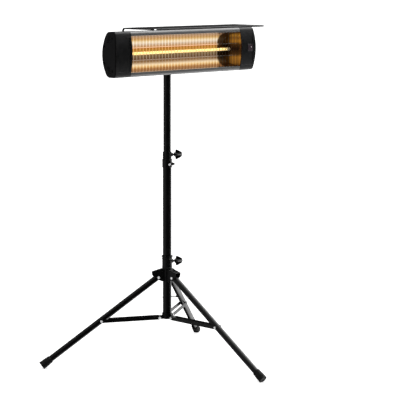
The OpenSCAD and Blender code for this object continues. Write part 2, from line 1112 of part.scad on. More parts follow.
module power_switch() {
    rocker_x = cap_end + cap_crown - 8;
    half_w = switch_w / 2 - 0.4;
    color("#101011")
        at_head()
            translate([rocker_x, switch_y, 0]) {
                rotate([90, 0, 0])
                    translate([0, 0, -half_w])
                        linear_extrude(2 * half_w)
                            polygon([[-6, -8], [6, -9.6], [7, -9], [4.5, 0], [9, 9], [8, 9.6], [-6, 8]]);
                bar_y(switch_pin_r, -half_w - 0.3, half_w + 0.3);
            }
}

lower_tube();
bottom_hub();
hub_bolts();
mast_foot_plug();
height_clamp();
clamp_bolt();
clamp_rivet();
lock_pin();
leg_collar();
leg_crown();
crown_bolts();
collar_knob();
collar_knob_stud();
height_knob();
height_knob_stud();
upper_tube();
upper_tube_guide();
leg_tube(0);  // leg_tube_1
leg_tube(1);  // leg_tube_2
leg_tube(2);  // leg_tube_3
leg_bush(0);  // leg_bush_1
leg_bush(1);  // leg_bush_2
leg_bush(2);  // leg_bush_3
foot_cap(0);  // foot_cap_1
foot_cap(1);  // foot_cap_2
foot_cap(2);  // foot_cap_3
stay(0);  // stay_1
stay(1);  // stay_2
stay(2);  // stay_3
stay_rivets(0);  // stay_rivets_1
stay_rivets(1);  // stay_rivets_2
stay_rivets(2);  // stay_rivets_3
mast_socket();
socket_knob();
tilt_bolt();
tilt_knob();
body_shell();
end_cap_left();
end_cap_right();
end_seal_left();
end_seal_right();
cap_screws();
reflector();
reflector_ends();
heat_tube();
filament();
tube_holders();
guard_grille();
visor();
visor_screws();
rear_bracket();
bracket_screws();
cable_gland();
control_board();
terminal_block();
lead_wires();
receiver_lens();
power_switch();
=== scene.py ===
"""The looks of the patio heater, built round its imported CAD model.

Lengths are in metres and places are in the CAD frame: the origin is on the floor under the mast, +Z is up
and the heater faces -Y. Sizes come from the CAD nodes' boxes, and the rest are named below.
"""

import json
import math

import bmesh
import bpy
from mathutils import Matrix, Vector


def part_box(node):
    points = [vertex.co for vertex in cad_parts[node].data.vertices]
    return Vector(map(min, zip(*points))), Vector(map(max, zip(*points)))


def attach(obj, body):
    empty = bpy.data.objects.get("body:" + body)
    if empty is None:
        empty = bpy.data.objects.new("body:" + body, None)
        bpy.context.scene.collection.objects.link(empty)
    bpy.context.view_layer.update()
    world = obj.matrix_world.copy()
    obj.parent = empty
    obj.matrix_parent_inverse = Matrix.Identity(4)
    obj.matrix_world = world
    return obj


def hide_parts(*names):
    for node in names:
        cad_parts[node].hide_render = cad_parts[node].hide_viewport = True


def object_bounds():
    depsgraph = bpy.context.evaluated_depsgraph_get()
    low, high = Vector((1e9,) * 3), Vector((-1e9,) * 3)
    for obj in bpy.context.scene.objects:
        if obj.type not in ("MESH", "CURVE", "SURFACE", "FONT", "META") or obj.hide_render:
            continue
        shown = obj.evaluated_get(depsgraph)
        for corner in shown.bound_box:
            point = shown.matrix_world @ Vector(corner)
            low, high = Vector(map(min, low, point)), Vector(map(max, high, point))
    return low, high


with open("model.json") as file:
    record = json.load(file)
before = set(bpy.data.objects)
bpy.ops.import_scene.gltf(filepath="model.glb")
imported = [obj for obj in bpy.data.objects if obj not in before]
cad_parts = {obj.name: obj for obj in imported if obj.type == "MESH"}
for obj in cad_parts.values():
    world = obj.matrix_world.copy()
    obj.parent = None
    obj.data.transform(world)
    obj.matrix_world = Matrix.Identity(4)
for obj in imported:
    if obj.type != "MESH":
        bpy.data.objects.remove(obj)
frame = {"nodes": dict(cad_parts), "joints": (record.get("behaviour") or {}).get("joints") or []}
CAD_LOW, CAD_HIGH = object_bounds()
NODES = frame["nodes"]
PIVOTS = {joint["name"]: Vector(joint["pos_m"]) for joint in frame["joints"] if "pos_m" in joint}
MM = 0.001

# The photograph's view
CAMERA_AZIMUTH = math.radians(-45.5055)
CAMERA_DISTANCE = 6.3616            # along the floor, from the mast
CAMERA_HEIGHT = 1.59
CAMERA_PITCH = math.radians(8.2592)
CAMERA_PAN = math.radians(1.2039)   # the mast stands left of the middle
CAMERA_ROLL = math.radians(0.1677)
CAMERA_LENS = 142.237               # mm, on the sensor below
CAMERA_SENSOR = 36

# The studio
# Soft lights that only reflections see: direction, radiance, and the two angles between which each fades
SOFT_LIGHTS = [
    ((0.80, -0.10, 0.58), 5.5, 24, 36),     # above, on the right
    ((0.80, -0.10, -0.58), 3.0, 24, 36),    # the lit floor, on the right
    ((-0.84, 0.54, 0.0), 0.40, 38, 52),     # a wall on the left
    ((0, 0, 1), 1.6, 25, 40),               # straight above
]

# The head's section, seen along X: the same four arcs as the CAD housing
CAP_LOW, CAP_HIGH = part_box("end_cap_right")
SHELL_LOW, SHELL_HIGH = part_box("body_shell")
HEAD_Z = (CAP_LOW.z + CAP_HIGH.z) / 2
HALF_H = (CAP_HIGH.z - CAP_LOW.z) / 2
BACK_R, CORNER_R = 200 * MM, 20 * MM
FRONT_R, LIP_R = 330 * MM, 12 * MM
BACK_Y = CAP_HIGH.y - BACK_R
FRONT_Y = CAP_LOW.y + FRONT_R
CORNER_Z = HALF_H - CORNER_R
LIP_Z = HALF_H - LIP_R
CORNER_Y = BACK_Y + math.sqrt((BACK_R - CORNER_R) ** 2 - CORNER_Z ** 2)
LIP_Y = FRONT_Y - math.sqrt((FRONT_R - LIP_R) ** 2 - LIP_Z ** 2)

# The end caps
CAP_X0 = CAP_LOW.x                  # where a cap meets the housing
CAP_CROWN = 8 * MM
CAP_X1 = CAP_HIGH.x - CAP_CROWN     # the cap's end at its upper and lower edge
CROWN_R = (HALF_H ** 2 + CAP_CROWN ** 2) / (2 * CAP_CROWN)
CAP_WALL = 3 * MM
CAP_EDGE = 3.2 * MM
CAP_CAVITY_X = CAP_X1 - 4 * MM
PANEL_X0, PANEL_X1 = CAP_X0 + 9 * MM, CAP_X1 - 9 * MM
PANEL_HALF = 65 * MM
PANEL_DEPTH = 1.1 * MM
PANEL_STEP = 0.8 * MM
SCREW_SPOTS = [(-100 * MM, 62 * MM), (-59 * MM, 32 * MM)]    # y, and height above and below the middle
SCREW_SEAT_R = 4.4 * MM
SCREW_SEAT_DEPTH = 1.5 * MM
VENT_HEIGHTS = [(47 + 6 * k) * MM for k in range(5)]
VENT_FRONT, VENT_BACK = -90 * MM, -70 * MM
VENT_TAPER = 2 * MM                 # how much shorter each slot is than the one nearer the middle
VENT_HALF = 1.3 * MM
CUT_REACH = 20 * MM                 # how far a cutter stands out past the cap's end

# The window, the guard and the reflector
WINDOW_HALF = 70 * MM
SHEET = 1.6 * MM
WIRE_R = 0.95 * MM
CROSS_WIRE_R = 1.1 * MM
WIRE_PITCH = 17.4 * MM
LONG_WIRE_Z = 24 * MM               # the two long wires nearest the middle, above and below it
TROUGH_SHEET = 0.8 * MM
TUBE_LOW, TUBE_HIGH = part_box("heat_tube")
TUBE_Y = (TUBE_LOW.y + TUBE_HIGH.y) / 2
TUBE_R = (TUBE_HIGH.z - TUBE_LOW.z) / 2
GLOW_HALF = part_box("filament")[1].x
GLOW_END = 222 * MM                 # where the trough's painted glow ends on the right
WIRE_GLOW_END = 178 * MM            # and where the guard's painted glow ends
GLOW_FADE = 9 * MM

# The visor's tabs: their middles along X and their widths
VISOR_TABS = [(x * MM, width * MM) for x, width in ((-307, 10), (-80, 24), (80, 24), (307, 10))]
VISOR_SHEET = 1.5 * MM
VISOR_HEM = 5.5 * MM
VISOR_CORNER = 9 * MM

# The mast and the tripod
LEG_ANGLES = [math.radians(a) for a in (-90, 30, 150)]
LEG_PIVOT = Vector((-PIVOTS["leg_fold_1"].y, 0, PIVOTS["leg_fold_1"].z))
FOOT = Vector((525 * MM, 0, 11 * MM))       # where a leg's axis ends, as if the leg lay along +X
MAST_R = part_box("lower_tube")[1].x
UPPER_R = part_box("upper_tube")[1].x
CLAMP_STEP_Z = 834 * MM             # the top of the height clamp's cup
SLEEVE_WALL = 2.7 * MM              # of the cup and of the sliding collar
KNOB_ANGLE = math.radians(-30)
KNOB_LENGTH = 33 * MM
KNOB_BOSS_R = 7.5 * MM
SOCKET_KNOB_SPAN = 19.6 * MM


# Geometry helpers

def fillet(points, radius, steps=5, closed=False):
    """The same outline with its corners rounded, each by at most half of its shorter side."""
    points = [Vector(p) for p in points]
    made = []
    for i, corner in enumerate(points):
        if not closed and i in (0, len(points) - 1):
            made.append(corner)
            continue
        before = points[i - 1] - corner
        after = points[(i + 1) % len(points)] - corner
        cut = min(radius, before.length / 2, after.length / 2)
        start = corner + before.normalized() * cut
        end = corner + after.normalized() * cut
        for k in range(steps + 1):
            t = k / steps
            made.append(start * (1 - t) ** 2 + corner * (2 * t * (1 - t)) + end * t ** 2)
    return made


def arc(centre, radius, start, end, steps):
    """Points on an arc in a plane; the angles are in radians."""
    turns = [start + (end - start) * k / steps for k in range(steps + 1)]
    return [Vector((centre[0] + radius * math.cos(t), centre[1] + radius * math.sin(t))) for t in turns]


def add_ring(bm, points):
    return [bm.verts.new(p) for p in points]


def join_rings(bm, first, second):
    """Faces between two rings with the same number of points."""
    count = len(first)
    for i in range(count):
        j = (i + 1) % count
        bm.faces.new((first[i], first[j], second[j], second[i]))


def loft(bm, rings, close=True):
    """A skin through closed rings of points, with its two ends filled."""
    made = [add_ring(bm, ring) for ring in rings]
    for first, second in zip(made, made[1:]):
        join_rings(bm, first, second)
    if close:
        bm.faces.new(made[0])
        bm.faces.new(made[-1])
    return made


def lathe(bm, profile, place=Matrix.Identity(4), segments=48, ripple=None):
    """A solid turned round the local Z axis. The profile is (radius, height) from the bottom to the top."""
    rings = []
    for radius, height in profile:
        ring = []
        for k in range(segments):
            turn = math.tau * k / segments
            r = radius * (ripple(turn, height) if ripple else 1)
            ring.append(place @ Vector((r * math.cos(turn), r * math.sin(turn), height)))
        rings.append(ring)
    return loft(bm, rings)


def sweep(bm, path, radius, sides=8, closed=False):
    """A round wire along a path, with flat ends unless it is closed."""
    path = [Vector(p) for p in path]
    count = len(path)
    side = None
    rings = []
    for i, point in enumerate(path):
        if closed:
            along = path[(i + 1) % count] - path[i - 1]
        else:
            along = path[min(i + 1, count - 1)] - path[max(i - 1, 0)]
        along.normalize()
        if side is None:
            side = along.orthogonal().normalized()
        side = (side - along * side.dot(along)).normalized()
        up = along.cross(side)
        turns = [math.tau * k / sides for k in range(sides)]
        rings.append([point + (side * math.cos(t) + up * math.sin(t)) * radius for t in turns])
    made = loft(bm, rings, close=not closed)
    if closed:
        join_rings(bm, made[-1], made[0])


def sheet_outline(path, thickness):
    """The closed outline of a bent sheet, from the line along the middle of its thickness."""
    path = [Vector(p) for p in path]
    left, right = [], []
    for i, point in enumerate(path):
        along = (path[min(i + 1, len(path) - 1)] - path[max(i - 1, 0)]).normalized()
        out = Vector((-along.y, along.x)) * (thickness / 2)
        left.append(point + out)
        right.append(point - out)
    tip = (path[-1] - path[-2]).normalized() * (thickness / 4)
    tail = (path[0] - path[1]).normalized() * (thickness / 4)
    return [path[0] + tail] + left + [path[-1] + tip] + right[::-1]


def extrude_x(bm, outline, x0, x1, stations=2):
    """A bar along X with an outline in Y and Z."""
    middle, half = (x0 + x1) / 2, (x1 - x0) / 2
    rings = []
    for k in range(stations):
        share = 2 * k / (stations - 1) - 1
        rings.append([Vector((middle + share * half, p.x, p.y)) for p in outline])
    return loft(bm, rings)


def folded_sheet(bm, path, thickness, stations, keep, reach):
    """A sheet bent along a path in Y and Z, made of the cells that keep allows between stations along X.

    reach gives how far a point's outermost stations draw in, for round corners.
    """
    path = [Vector(p) for p in path]
    middle, half = (stations[0] + stations[-1]) / 2, (stations[-1] - stations[0]) / 2
    corners = {}

    def corner(i, k, side):
        if (i, k, side) not in corners:
            along = (path[min(k + 1, len(path) - 1)] - path[max(k - 1, 0)]).normalized()
            p = path[k] + Vector((-along.y, along.x)) * (side * thickness / 2)
            limit = half - reach(path[k])
            x = middle + max(-limit, min(limit, stations[i] - middle))
            corners[i, k, side] = bm.verts.new((x, p.x, p.y))
        return corners[i, k, side]

    cells = {(i, k) for i in range(len(stations) - 1) for k in range(len(path) - 1)
             if keep((stations[i] + stations[i + 1]) / 2, k)}
    for i, k in cells:
        for side in (-1, 1):
            bm.faces.new([corner(a, b, side) for a, b in ((i, k), (i + 1, k), (i + 1, k + 1), (i, k + 1))])
        for di, dk, a, b in ((-1, 0, (i, k), (i, k + 1)), (1, 0, (i + 1, k), (i + 1, k + 1)),
                             (0, -1, (i, k), (i + 1, k)), (0, 1, (i, k + 1), (i + 1, k + 1))):
            if (i + di, k + dk) not in cells:
                bm.faces.new((corner(*a, -1), corner(*b, -1), corner(*b, 1), corner(*a, 1)))


def rounded_rectangle(half_w, half_h, radius, steps=5):
    corners = [(-half_w, -half_h), (half_w, -half_h), (half_w, half_h), (-half_w, half_h)]
    return fillet(corners, radius, steps, closed=True)


def new_mesh_object(name, bm, sharp=35):
    bmesh.ops.recalc_face_normals(bm, faces=bm.faces)
    mesh = bpy.data.meshes.new(name)
    bm.to_mesh(mesh)
    bm.free()
    mesh.shade_smooth()
    mesh.set_sharp_from_angle(angle=math.radians(sharp))
    obj = bpy.data.objects.new(name, mesh)
    bpy.context.scene.collection.objects.link(obj)
    return obj


def add_piece(name, bm, material, body, replaced=(), sharp=35):
    """Makes a finished mesh into a piece that rides on a body and stands for CAD nodes."""
    obj = new_mesh_object(name, bm, sharp)
    return dress(obj, material, body, replaced)


def dress(obj, material, body, replaced=()):
    obj.data.materials.append(material)
    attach(obj, body)
    if replaced:
        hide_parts(*replaced)
    return obj


def carve(obj, cutters):
    """Cuts closed shapes out of an object for good."""
    for cutter in cutters:
        boolean = obj.modifiers.new("cut", "BOOLEAN")
        boolean.operation = "DIFFERENCE"
        boolean.solver = "EXACT"
        boolean.object = cutter
    shapes = bpy.context.evaluated_depsgraph_get()
    cut = bpy.data.meshes.new_from_object(obj.evaluated_get(shapes))
    obj.modifiers.clear()
    obj.data = cut
    for cutter in cutters:
        bpy.data.objects.remove(cutter)
    cut.shade_smooth()
    cut.set_sharp_from_angle(angle=math.radians(30))
    even = obj.modifiers.new("even", "WEIGHTED_NORMAL")
    even.keep_sharp = True


def soften(node, width):
    """Rounds the edges of a CAD node with modifiers and leaves its mesh alone."""
    obj = NODES[node]
    weld = obj.modifiers.new("weld", "WELD")
    weld.merge_threshold = 0.01 * MM
    edges = obj.modifiers.new("edges", "BEVEL")
    edges.width = width
    edges.segments = 2
    edges.limit_method = "ANGLE"
    edges.angle_limit = math.radians(40)
    edges.use_clamp_overlap = True
    even = obj.modifiers.new("even", "WEIGHTED_NORMAL")
    even.keep_sharp = True


def middle_of(node):
    low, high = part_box(node)
    return (low + high) / 2


def along_x(x, y, z):
    """Turns a lathe's axis to +X at a place."""
    return Matrix.Translation((x, y, z)) @ Matrix.Rotation(math.pi / 2, 4, "Y")


def along_y(x, y, z):
    """Turns a lathe's axis to +Y at a place."""
    return Matrix.Translation((x, y, z)) @ Matrix.Rotation(-math.pi / 2, 4, "X")


def outward(angle, radius, z):
    """Turns a lathe's axis away from the mast, at an angle round it."""
    turn = Matrix.Rotation(angle, 4, "Z")
    return turn @ Matrix.Translation((radius, 0, z)) @ Matrix.Rotation(math.pi / 2, 4, "Y")


# Materials

def add_node(material, kind, attributes=(), inputs=()):
    made = material.node_tree.nodes.new(kind)
    for name, value in dict(attributes).items():
        setattr(made, name, value)
    for name, value in dict(inputs).items():
        made.inputs[name].default_value = value
    return made


def link(material, output, socket):
    material.node_tree.links.new(output, socket)


def new_material(name, roughness, metallic=0.0, **sockets):
    """A material with one Principled shader; values that are the same all over are set on its sockets."""
    material = bpy.data.materials.new(name)
    material.use_nodes = True
    shader = material.node_tree.nodes["Principled BSDF"]
    shader.inputs["Roughness"].default_value = roughness
    shader.inputs["Metallic"].default_value = metallic
    for socket, value in sockets.items():
        shader.inputs[socket.replace("_", " ")].default_value = value
    return material, shader


def noise(material, scale, detail=3.0, stretch=(1, 1, 1), rough=0.5):
    """A noise fixed to the object. scale is in grains per metre."""
    place = add_node(material, "ShaderNodeTexCoord")
    size = add_node(material, "ShaderNodeMapping", inputs={"Scale": stretch})
    made = add_node(material, "ShaderNodeTexNoise",
                    inputs={"Scale": scale, "Detail": detail, "Roughness": rough})
    link(material, place.outputs["Object"], size.inputs["Vector"])
    link(material, size.outputs["Vector"], made.inputs["Vector"])
    return made.outputs["Fac"]


def vary_colour(material, shader, source, first, second):
    ramp = add_node(material, "ShaderNodeValToRGB")
    for element, place, colour in zip(ramp.color_ramp.elements, (0.35, 0.65), (first, second)):
        element.position = place
        element.color = (*colour, 1)
    link(material, source, ramp.inputs["Fac"])
    link(material, ramp.outputs["Color"], shader.inputs["Base Color"])
    return ramp.outputs["Color"]


def vary_roughness(material, shader, source, smooth, rough):
    spread = add_node(material, "ShaderNodeMapRange", inputs={"From Min": 0.3, "From Max": 0.7,
                                                              "To Min": smooth, "To Max": rough})
    link(material, source, spread.inputs["Value"])
    link(material, spread.outputs["Result"], shader.inputs["Roughness"])


def add_bump(material, shader, source, strength, height):
    bump = add_node(material, "ShaderNodeBump", inputs={"Strength": strength, "Distance": height})
    link(material, source, bump.inputs["Height"])
    link(material, bump.outputs["Normal"], shader.inputs["Normal"])


def weather(material, shader, colour, shine, relief):
    """Gives a shader its colour, roughness and bump.

    Each is a pattern, or the arguments of a noise, and two more values: the two ends that it varies between,
    or the bump's strength and height.
    """
    for apply, (source, *values) in ((vary_colour, colour), (vary_roughness, shine), (add_bump, relief)):
        pattern = noise(material, *source) if isinstance(source, tuple) else source
        apply(material, shader, pattern, *values)
    return material


def powder_coat(name, dark, light, smooth, rough, specular):
    """Baked paint: a fine orange peel, and rubbed patches that are a little smoother."""
    material, shader = new_material(name, rough, Specular_IOR_Level=specular)
    return weather(material, shader, ((35, 5), dark, light), ((18, 6), smooth, rough),
                   ((1400, 2), 0.25, 0.06 * MM))


def moulded_plastic(name, dark, light, smooth, rough, grain=2600, specular=0.3):
    """Moulded plastic with a fine eroded grain and faint flow marks."""
    material, shader = new_material(name, rough, Specular_IOR_Level=specular)
    return weather(material, shader, ((22, 4, (1, 1, 0.4)), dark, light), ((60, 5), smooth, rough),
                   ((grain, 3, (1, 1, 1), 0.7), 0.35, 0.07 * MM))


def rubber(name):
    """Matt rubber, dusty where it is rubbed."""
    material, shader = new_material(name, 0.8, Specular_IOR_Level=0.25)
    return weather(material, shader, ((70, 6), (0.0015, 0.0015, 0.0015), (0.005, 0.0048, 0.0046)),
                   ((120, 4), 0.62, 0.9), ((1800, 4, (1, 1, 1), 0.65), 0.5, 0.12 * MM))


def plated_steel(name, colour, dull, smooth, rough, metallic=1.0):
    """Plated or drawn steel with fine scratches and a dull bloom."""
    material, shader = new_material(name, rough, metallic=metallic)
    return weather(material, shader, ((160, 5), colour, dull), ((320, 5), smooth, rough),
                   ((2600, 3), 0.2, 0.03 * MM))


def colour_ramp(material, source, stops, low, high):
    """A colour for each height. Stops are (place from low to high, colour), at most 32 of them."""
    spread = add_node(material, "ShaderNodeMapRange", inputs={"From Min": low, "From Max": high})
    ramp = add_node(material, "ShaderNodeValToRGB")
    elements = ramp.color_ramp.elements
    while len(elements) < len(stops):
        elements.new(0.5)
    for element, (place, colour) in zip(elements, stops):
        element.position = (place - low) / (high - low)
        element.color = (*colour, 1)
    link(material, source, spread.inputs["Value"])
    link(material, spread.outputs["Result"], ramp.inputs["Fac"])
    return ramp.outputs["Color"]


def object_axes(material):
    place = add_node(material, "ShaderNodeTexCoord")
    split = add_node(material, "ShaderNodeSeparateXYZ")
    link(material, place.outputs["Object"], split.inputs["Vector"])
    return split.outputs


def colour_by_height(material, source, stops, reach):
    """Colours by height from the middle of the head, in millimetres, as far as reach above and below it."""
    placed = [(HEAD_Z + height * MM, colour) for height, colour in stops]
    return colour_ramp(material, source, placed, HEAD_Z - reach, HEAD_Z + reach)


def paint_glow(material, shader, stops, reach, along):
    """Light by height from the middle of the head, dimmed by place along it."""
    axes = object_axes(material)
    bands = colour_by_height(material, axes["Z"], stops, reach)
    ends = colour_ramp(material, axes["X"], along, -SHELL_HIGH.x, SHELL_HIGH.x)
    link(material, multiply(material, bands, ends), shader.inputs["Emission Color"])


def multiply(material, first, second):
    mixed = add_node(material, "ShaderNodeMix", {"data_type": "RGBA", "blend_type": "MULTIPLY"})
    mixed.inputs["Factor"].default_value = 1.0
    link(material, first, mixed.inputs["A"])
    link(material, second, mixed.inputs["B"])
    return mixed.outputs["Result"]


# Painted glow: the tube's light thrown back by the trough, painted as emission by height from the middle of
# the head, in millimetres
TROUGH_GLOW = [
    (-70, (0.09, 0.05, 0.025)), (-66, (0.20, 0.09, 0.035)), (-60, (0.30, 0.12, 0.035)),
    (-55, (0.54, 0.29, 0.10)), (-51, (0.72, 0.46, 0.20)), (-47, (0.72, 0.55, 0.33)),
    (-43, (0.56, 0.42, 0.28)), (-39, (0.28, 0.19, 0.11)), (-35, (0.12, 0.065, 0.032)),
    (-28, (0.065, 0.028, 0.012)), (-23, (0.09, 0.045, 0.02)), (-18, (0.15, 0.09, 0.045)),
    (-11, (0.18, 0.12, 0.055)), (-6, (0.28, 0.18, 0.07)), (4, (0.46, 0.25, 0.06)),
    (9, (0.42, 0.19, 0.03)), (13, (0.46, 0.19, 0.03)), (18, (0.44, 0.15, 0.022)),
    (22, (0.46, 0.19, 0.06)), (26, (0.50, 0.28, 0.14)), (30, (0.48, 0.32, 0.20)),
    (34, (0.56, 0.43, 0.31)), (38, (0.74, 0.60, 0.43)), (44, (0.74, 0.58, 0.34)),
    (49, (0.60, 0.38, 0.15)), (54, (0.44, 0.24, 0.08)), (61, (0.38, 0.22, 0.11)),
    (65, (0.24, 0.14, 0.08)), (70, (0.07, 0.035, 0.02)),
]


# The same painted glow for the guard's wires, where the lit trough shows in them
WIRE_GLOW = [
    (-72, (0.40, 0.27, 0.18)), (-60, (0.60, 0.32, 0.13)), (-50, (1.0, 0.84, 0.50)),
    (-43, (0.96, 0.84, 0.60)), (-36, (0.42, 0.31, 0.21)), (-28, (0.26, 0.17, 0.12)),
    (-15, (0.42, 0.33, 0.24)), (-5, (0.60, 0.40, 0.20)), (8, (0.86, 0.44, 0.13)),
    (17, (0.90, 0.44, 0.13)), (26, (0.90, 0.60, 0.38)), (34, (0.95, 0.82, 0.68)),
    (45, (1.0, 0.96, 0.84)), (53, (0.86, 0.60, 0.30)), (60, (0.70, 0.48, 0.30)),
    (72, (0.42, 0.32, 0.26)),
]


def gold_trough():
    """Gold-anodised sheet, rolled along its length, with the heat tube's light on it painted as glow."""
    material, shader = new_material("gold_trough", 0.3, metallic=1.0, Emission_Strength=1.0)
    streaks = noise(material, 900, 4, (0.02, 1, 1))
    weather(material, shader, (streaks, (0.05, 0.026, 0.008), (0.08, 0.048, 0.017)), (streaks, 0.22, 0.42),
            (streaks, 0.3, 0.05 * MM))
    half = SHELL_HIGH.x
    # Painted glow by height, a little dimmer at the left end and dark beyond GLOW_END on the right
    paint_glow(material, shader, TROUGH_GLOW, WINDOW_HALF, [
        (-half, (0.9, 0.85, 0.8)), (-half + 24 * MM, (1, 1, 1)), (GLOW_END, (1, 1, 1)),
        (GLOW_END + GLOW_FADE, (0.06, 0.04, 0.025)), (half, (0.02, 0.013, 0.01))])
    return material


def gold_end():
    """Polished gold sheet at the trough's ends, with the tube's light painted as glow above and below the
    tube and painted shade on its deep half.
    """
    material, shader = new_material("gold_end", 0.22, metallic=1.0, Emission_Strength=1.0)
    weather(material, shader, ((28, 3, (1, 1, 0.5)), (0.06, 0.03, 0.009), (0.12, 0.065, 0.02)),
            ((500, 4, (1, 1, 0.03)), 0.14, 0.34), ((700, 3, (1, 1, 0.04)), 0.25, 0.04 * MM))
    axes = object_axes(material)
    # Painted glow by height: the tube's light on the end sheet
    bands = colour_by_height(material, axes["Z"], [
        (-68, (0.06, 0.02, 0.004)), (-56, (0.24, 0.10, 0.015)), (-34, (0.34, 0.14, 0.02)),
        (-20, (0.06, 0.024, 0.006)), (0, (0.012, 0.005, 0.003)), (18, (0.05, 0.02, 0.005)),
        (32, (0.36, 0.15, 0.018)), (46, (0.20, 0.08, 0.012)), (56, (0.34, 0.15, 0.02)),
        (68, (0.05, 0.016, 0.003))], WINDOW_HALF)
    # Painted shade: the glow fades towards the back of the sheet, its deep half
    low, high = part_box("reflector_ends")
    middle = (low.y + high.y) / 2
    painted_depth_shade = colour_ramp(material, axes["Y"], [
        (low.y, (1, 1, 1)), (middle - 4 * MM, (0.8, 0.8, 0.8)), (middle + 3 * MM, (0.12, 0.1, 0.08)),
        (high.y, (0.04, 0.035, 0.03))], low.y, high.y)
    link(material, multiply(material, bands, painted_depth_shade), shader.inputs["Emission Color"])
    return material


def quartz():
    """Clear quartz that carries the element's light, drawn in fine lines along the tube."""
    material, shader = new_material("quartz", 0.08, IOR=1.46, Transmission_Weight=0.85,
                                    Emission_Strength=0.12)
    draw = noise(material, 500, 2, (0.02, 1, 1))
    vary_colour(material, shader, draw, (1.0, 0.9, 0.7), (1.0, 0.96, 0.86))
    vary_roughness(material, shader, draw, 0.03, 0.12)
    ends = colour_ramp(material, object_axes(material)["X"], [
        (-GLOW_HALF - 16 * MM, (0.02, 0.01, 0.005)), (-GLOW_HALF - 4 * MM, (1.0, 0.80, 0.36)),
        (GLOW_HALF + 4 * MM, (1.0, 0.80, 0.36)), (GLOW_HALF + 16 * MM, (0.02, 0.01, 0.005))],
        TUBE_LOW.x, TUBE_HIGH.x)
    link(material, ends, shader.inputs["Emission Color"])
    return material


def glowing_coil():
    """A coil at working heat, brighter where the turns lie close."""
    material, shader = new_material("glowing_coil", 0.5, Emission_Strength=1.25)
    heat = noise(material, 90, 3)
    colour = vary_colour(material, shader, heat, (0.95, 0.66, 0.24), (1.0, 0.80, 0.36))
    vary_roughness(material, shader, heat, 0.4, 0.6)
    link(material, colour, shader.inputs["Emission Color"])
    return material


def lit_wire():
    """Drawn wire before the trough, with painted glow: paler where the trough's painted glow is bright and
    dark beyond it.
    """
    material, shader = new_material("guard_wire", 0.4, metallic=1.0, Emission_Strength=1.1)
    draw = noise(material, 900, 4, (1, 1, 0.05))
    weather(material, shader, (draw, (0.05, 0.046, 0.04), (0.09, 0.083, 0.075)), (draw, 0.3, 0.5),
            (draw, 0.2, 0.03 * MM))
    half = SHELL_HIGH.x
    # Painted glow by height, dark beyond WIRE_GLOW_END on the right
    paint_glow(material, shader, WIRE_GLOW, WINDOW_HALF + 3 * MM, [
        (-half, (1, 1, 1)), (WIRE_GLOW_END, (1, 1, 1)),
        (WIRE_GLOW_END + GLOW_FADE, (0.02, 0.018, 0.015)), (half, (0.01, 0.009, 0.008))])
    return material


def ceramic():
    material, shader = new_material("ceramic", 0.6)
    return weather(material, shader, ((90, 5), (0.72, 0.69, 0.62), (0.84, 0.82, 0.76)),
                   ((400, 3), 0.5, 0.75), ((1500, 4), 0.4, 0.1 * MM))


def circuit_board():
    material, shader = new_material("circuit_board", 0.4)
    return weather(material, shader, ((300, 2, (1, 0.1, 1)), (0.010, 0.10, 0.035), (0.03, 0.17, 0.06)),
                   ((600, 2), 0.25, 0.5), ((700, 2), 0.3, 0.1 * MM))


def woven_sleeve():
    material, shader = new_material("woven_sleeve", 0.8, Sheen_Weight=0.3)
    wave = add_node(material, "ShaderNodeTexWave", inputs={"Scale": 400.0, "Distortion": 1.5})
    place = add_node(material, "ShaderNodeTexCoord")
    link(material, place.outputs["Object"], wave.inputs["Vector"])
    weave = wave.outputs["Fac"]
    return weather(material, shader, (weave, (0.45, 0.42, 0.36), (0.68, 0.65, 0.58)), (weave, 0.7, 0.9),
                   (weave, 0.5, 0.15 * MM))


def smoked_lens():
    material, shader = new_material("smoked_lens", 0.12, Coat_Weight=0.6, Coat_Roughness=0.05)
    return weather(material, shader, ((60, 3), (0.034, 0.024, 0.030), (0.048, 0.034, 0.041)),
                   ((200, 3), 0.08, 0.22), ((900, 2), 0.1, 0.02 * MM))


def lit_indicator():
    material, shader = new_material("lit_indicator", 0.3, Emission_Strength=0.35)
    glow = noise(material, 900, 2)
    colour = vary_colour(material, shader, glow, (0.85, 0.72, 0.72), (1.0, 0.9, 0.88))
    vary_roughness(material, shader, glow, 0.2, 0.4)
    link(material, colour, shader.inputs["Emission Color"])
    return material


BLACK_STEEL = powder_coat("black_steel", (0.0012, 0.0012, 0.0013), (0.0026, 0.0026, 0.0027), 0.3, 0.4, 0.3)
HOUSING_PAINT = powder_coat("housing_paint", (0.010, 0.010, 0.0105), (0.018, 0.018, 0.0185), 0.3, 0.4, 0.6)
VISOR_PAINT = powder_coat("visor_paint", (0.006, 0.006, 0.0063), (0.011, 0.011, 0.0113), 0.3, 0.4, 0.3)
BLACK_PLASTIC = moulded_plastic("black_plastic", (0.0012, 0.0012, 0.0013), (0.0028, 0.0028, 0.003),
                                0.34, 0.48)
KNOB_PLASTIC = moulded_plastic("knob_plastic", (0.0012, 0.0012, 0.0013), (0.0026, 0.0026, 0.0028), 0.3, 0.42,
                               grain=1800)
CAP_PLASTIC = moulded_plastic("cap_plastic", (0.0022, 0.0022, 0.0024), (0.004, 0.004, 0.0043), 0.3, 0.42,
                              specular=0.12)
RUBBER = rubber("black_rubber")
DARK_STEEL = plated_steel("dark_steel", (0.015, 0.015, 0.016), (0.03, 0.03, 0.031), 0.35, 0.55)
BRIGHT_STEEL = plated_steel("bright_steel", (0.90, 0.90, 0.91), (0.78, 0.79, 0.80), 0.16, 0.34,
                            metallic=0.3)
GUARD_WIRE = lit_wire()
TROUGH = gold_trough()
TROUGH_END = gold_end()
QUARTZ = quartz()
COIL = glowing_coil()
CERAMIC = ceramic()
BOARD = circuit_board()
SLEEVE = woven_sleeve()
LENS = smoked_lens()
INDICATOR = lit_indicator()


# The head's section

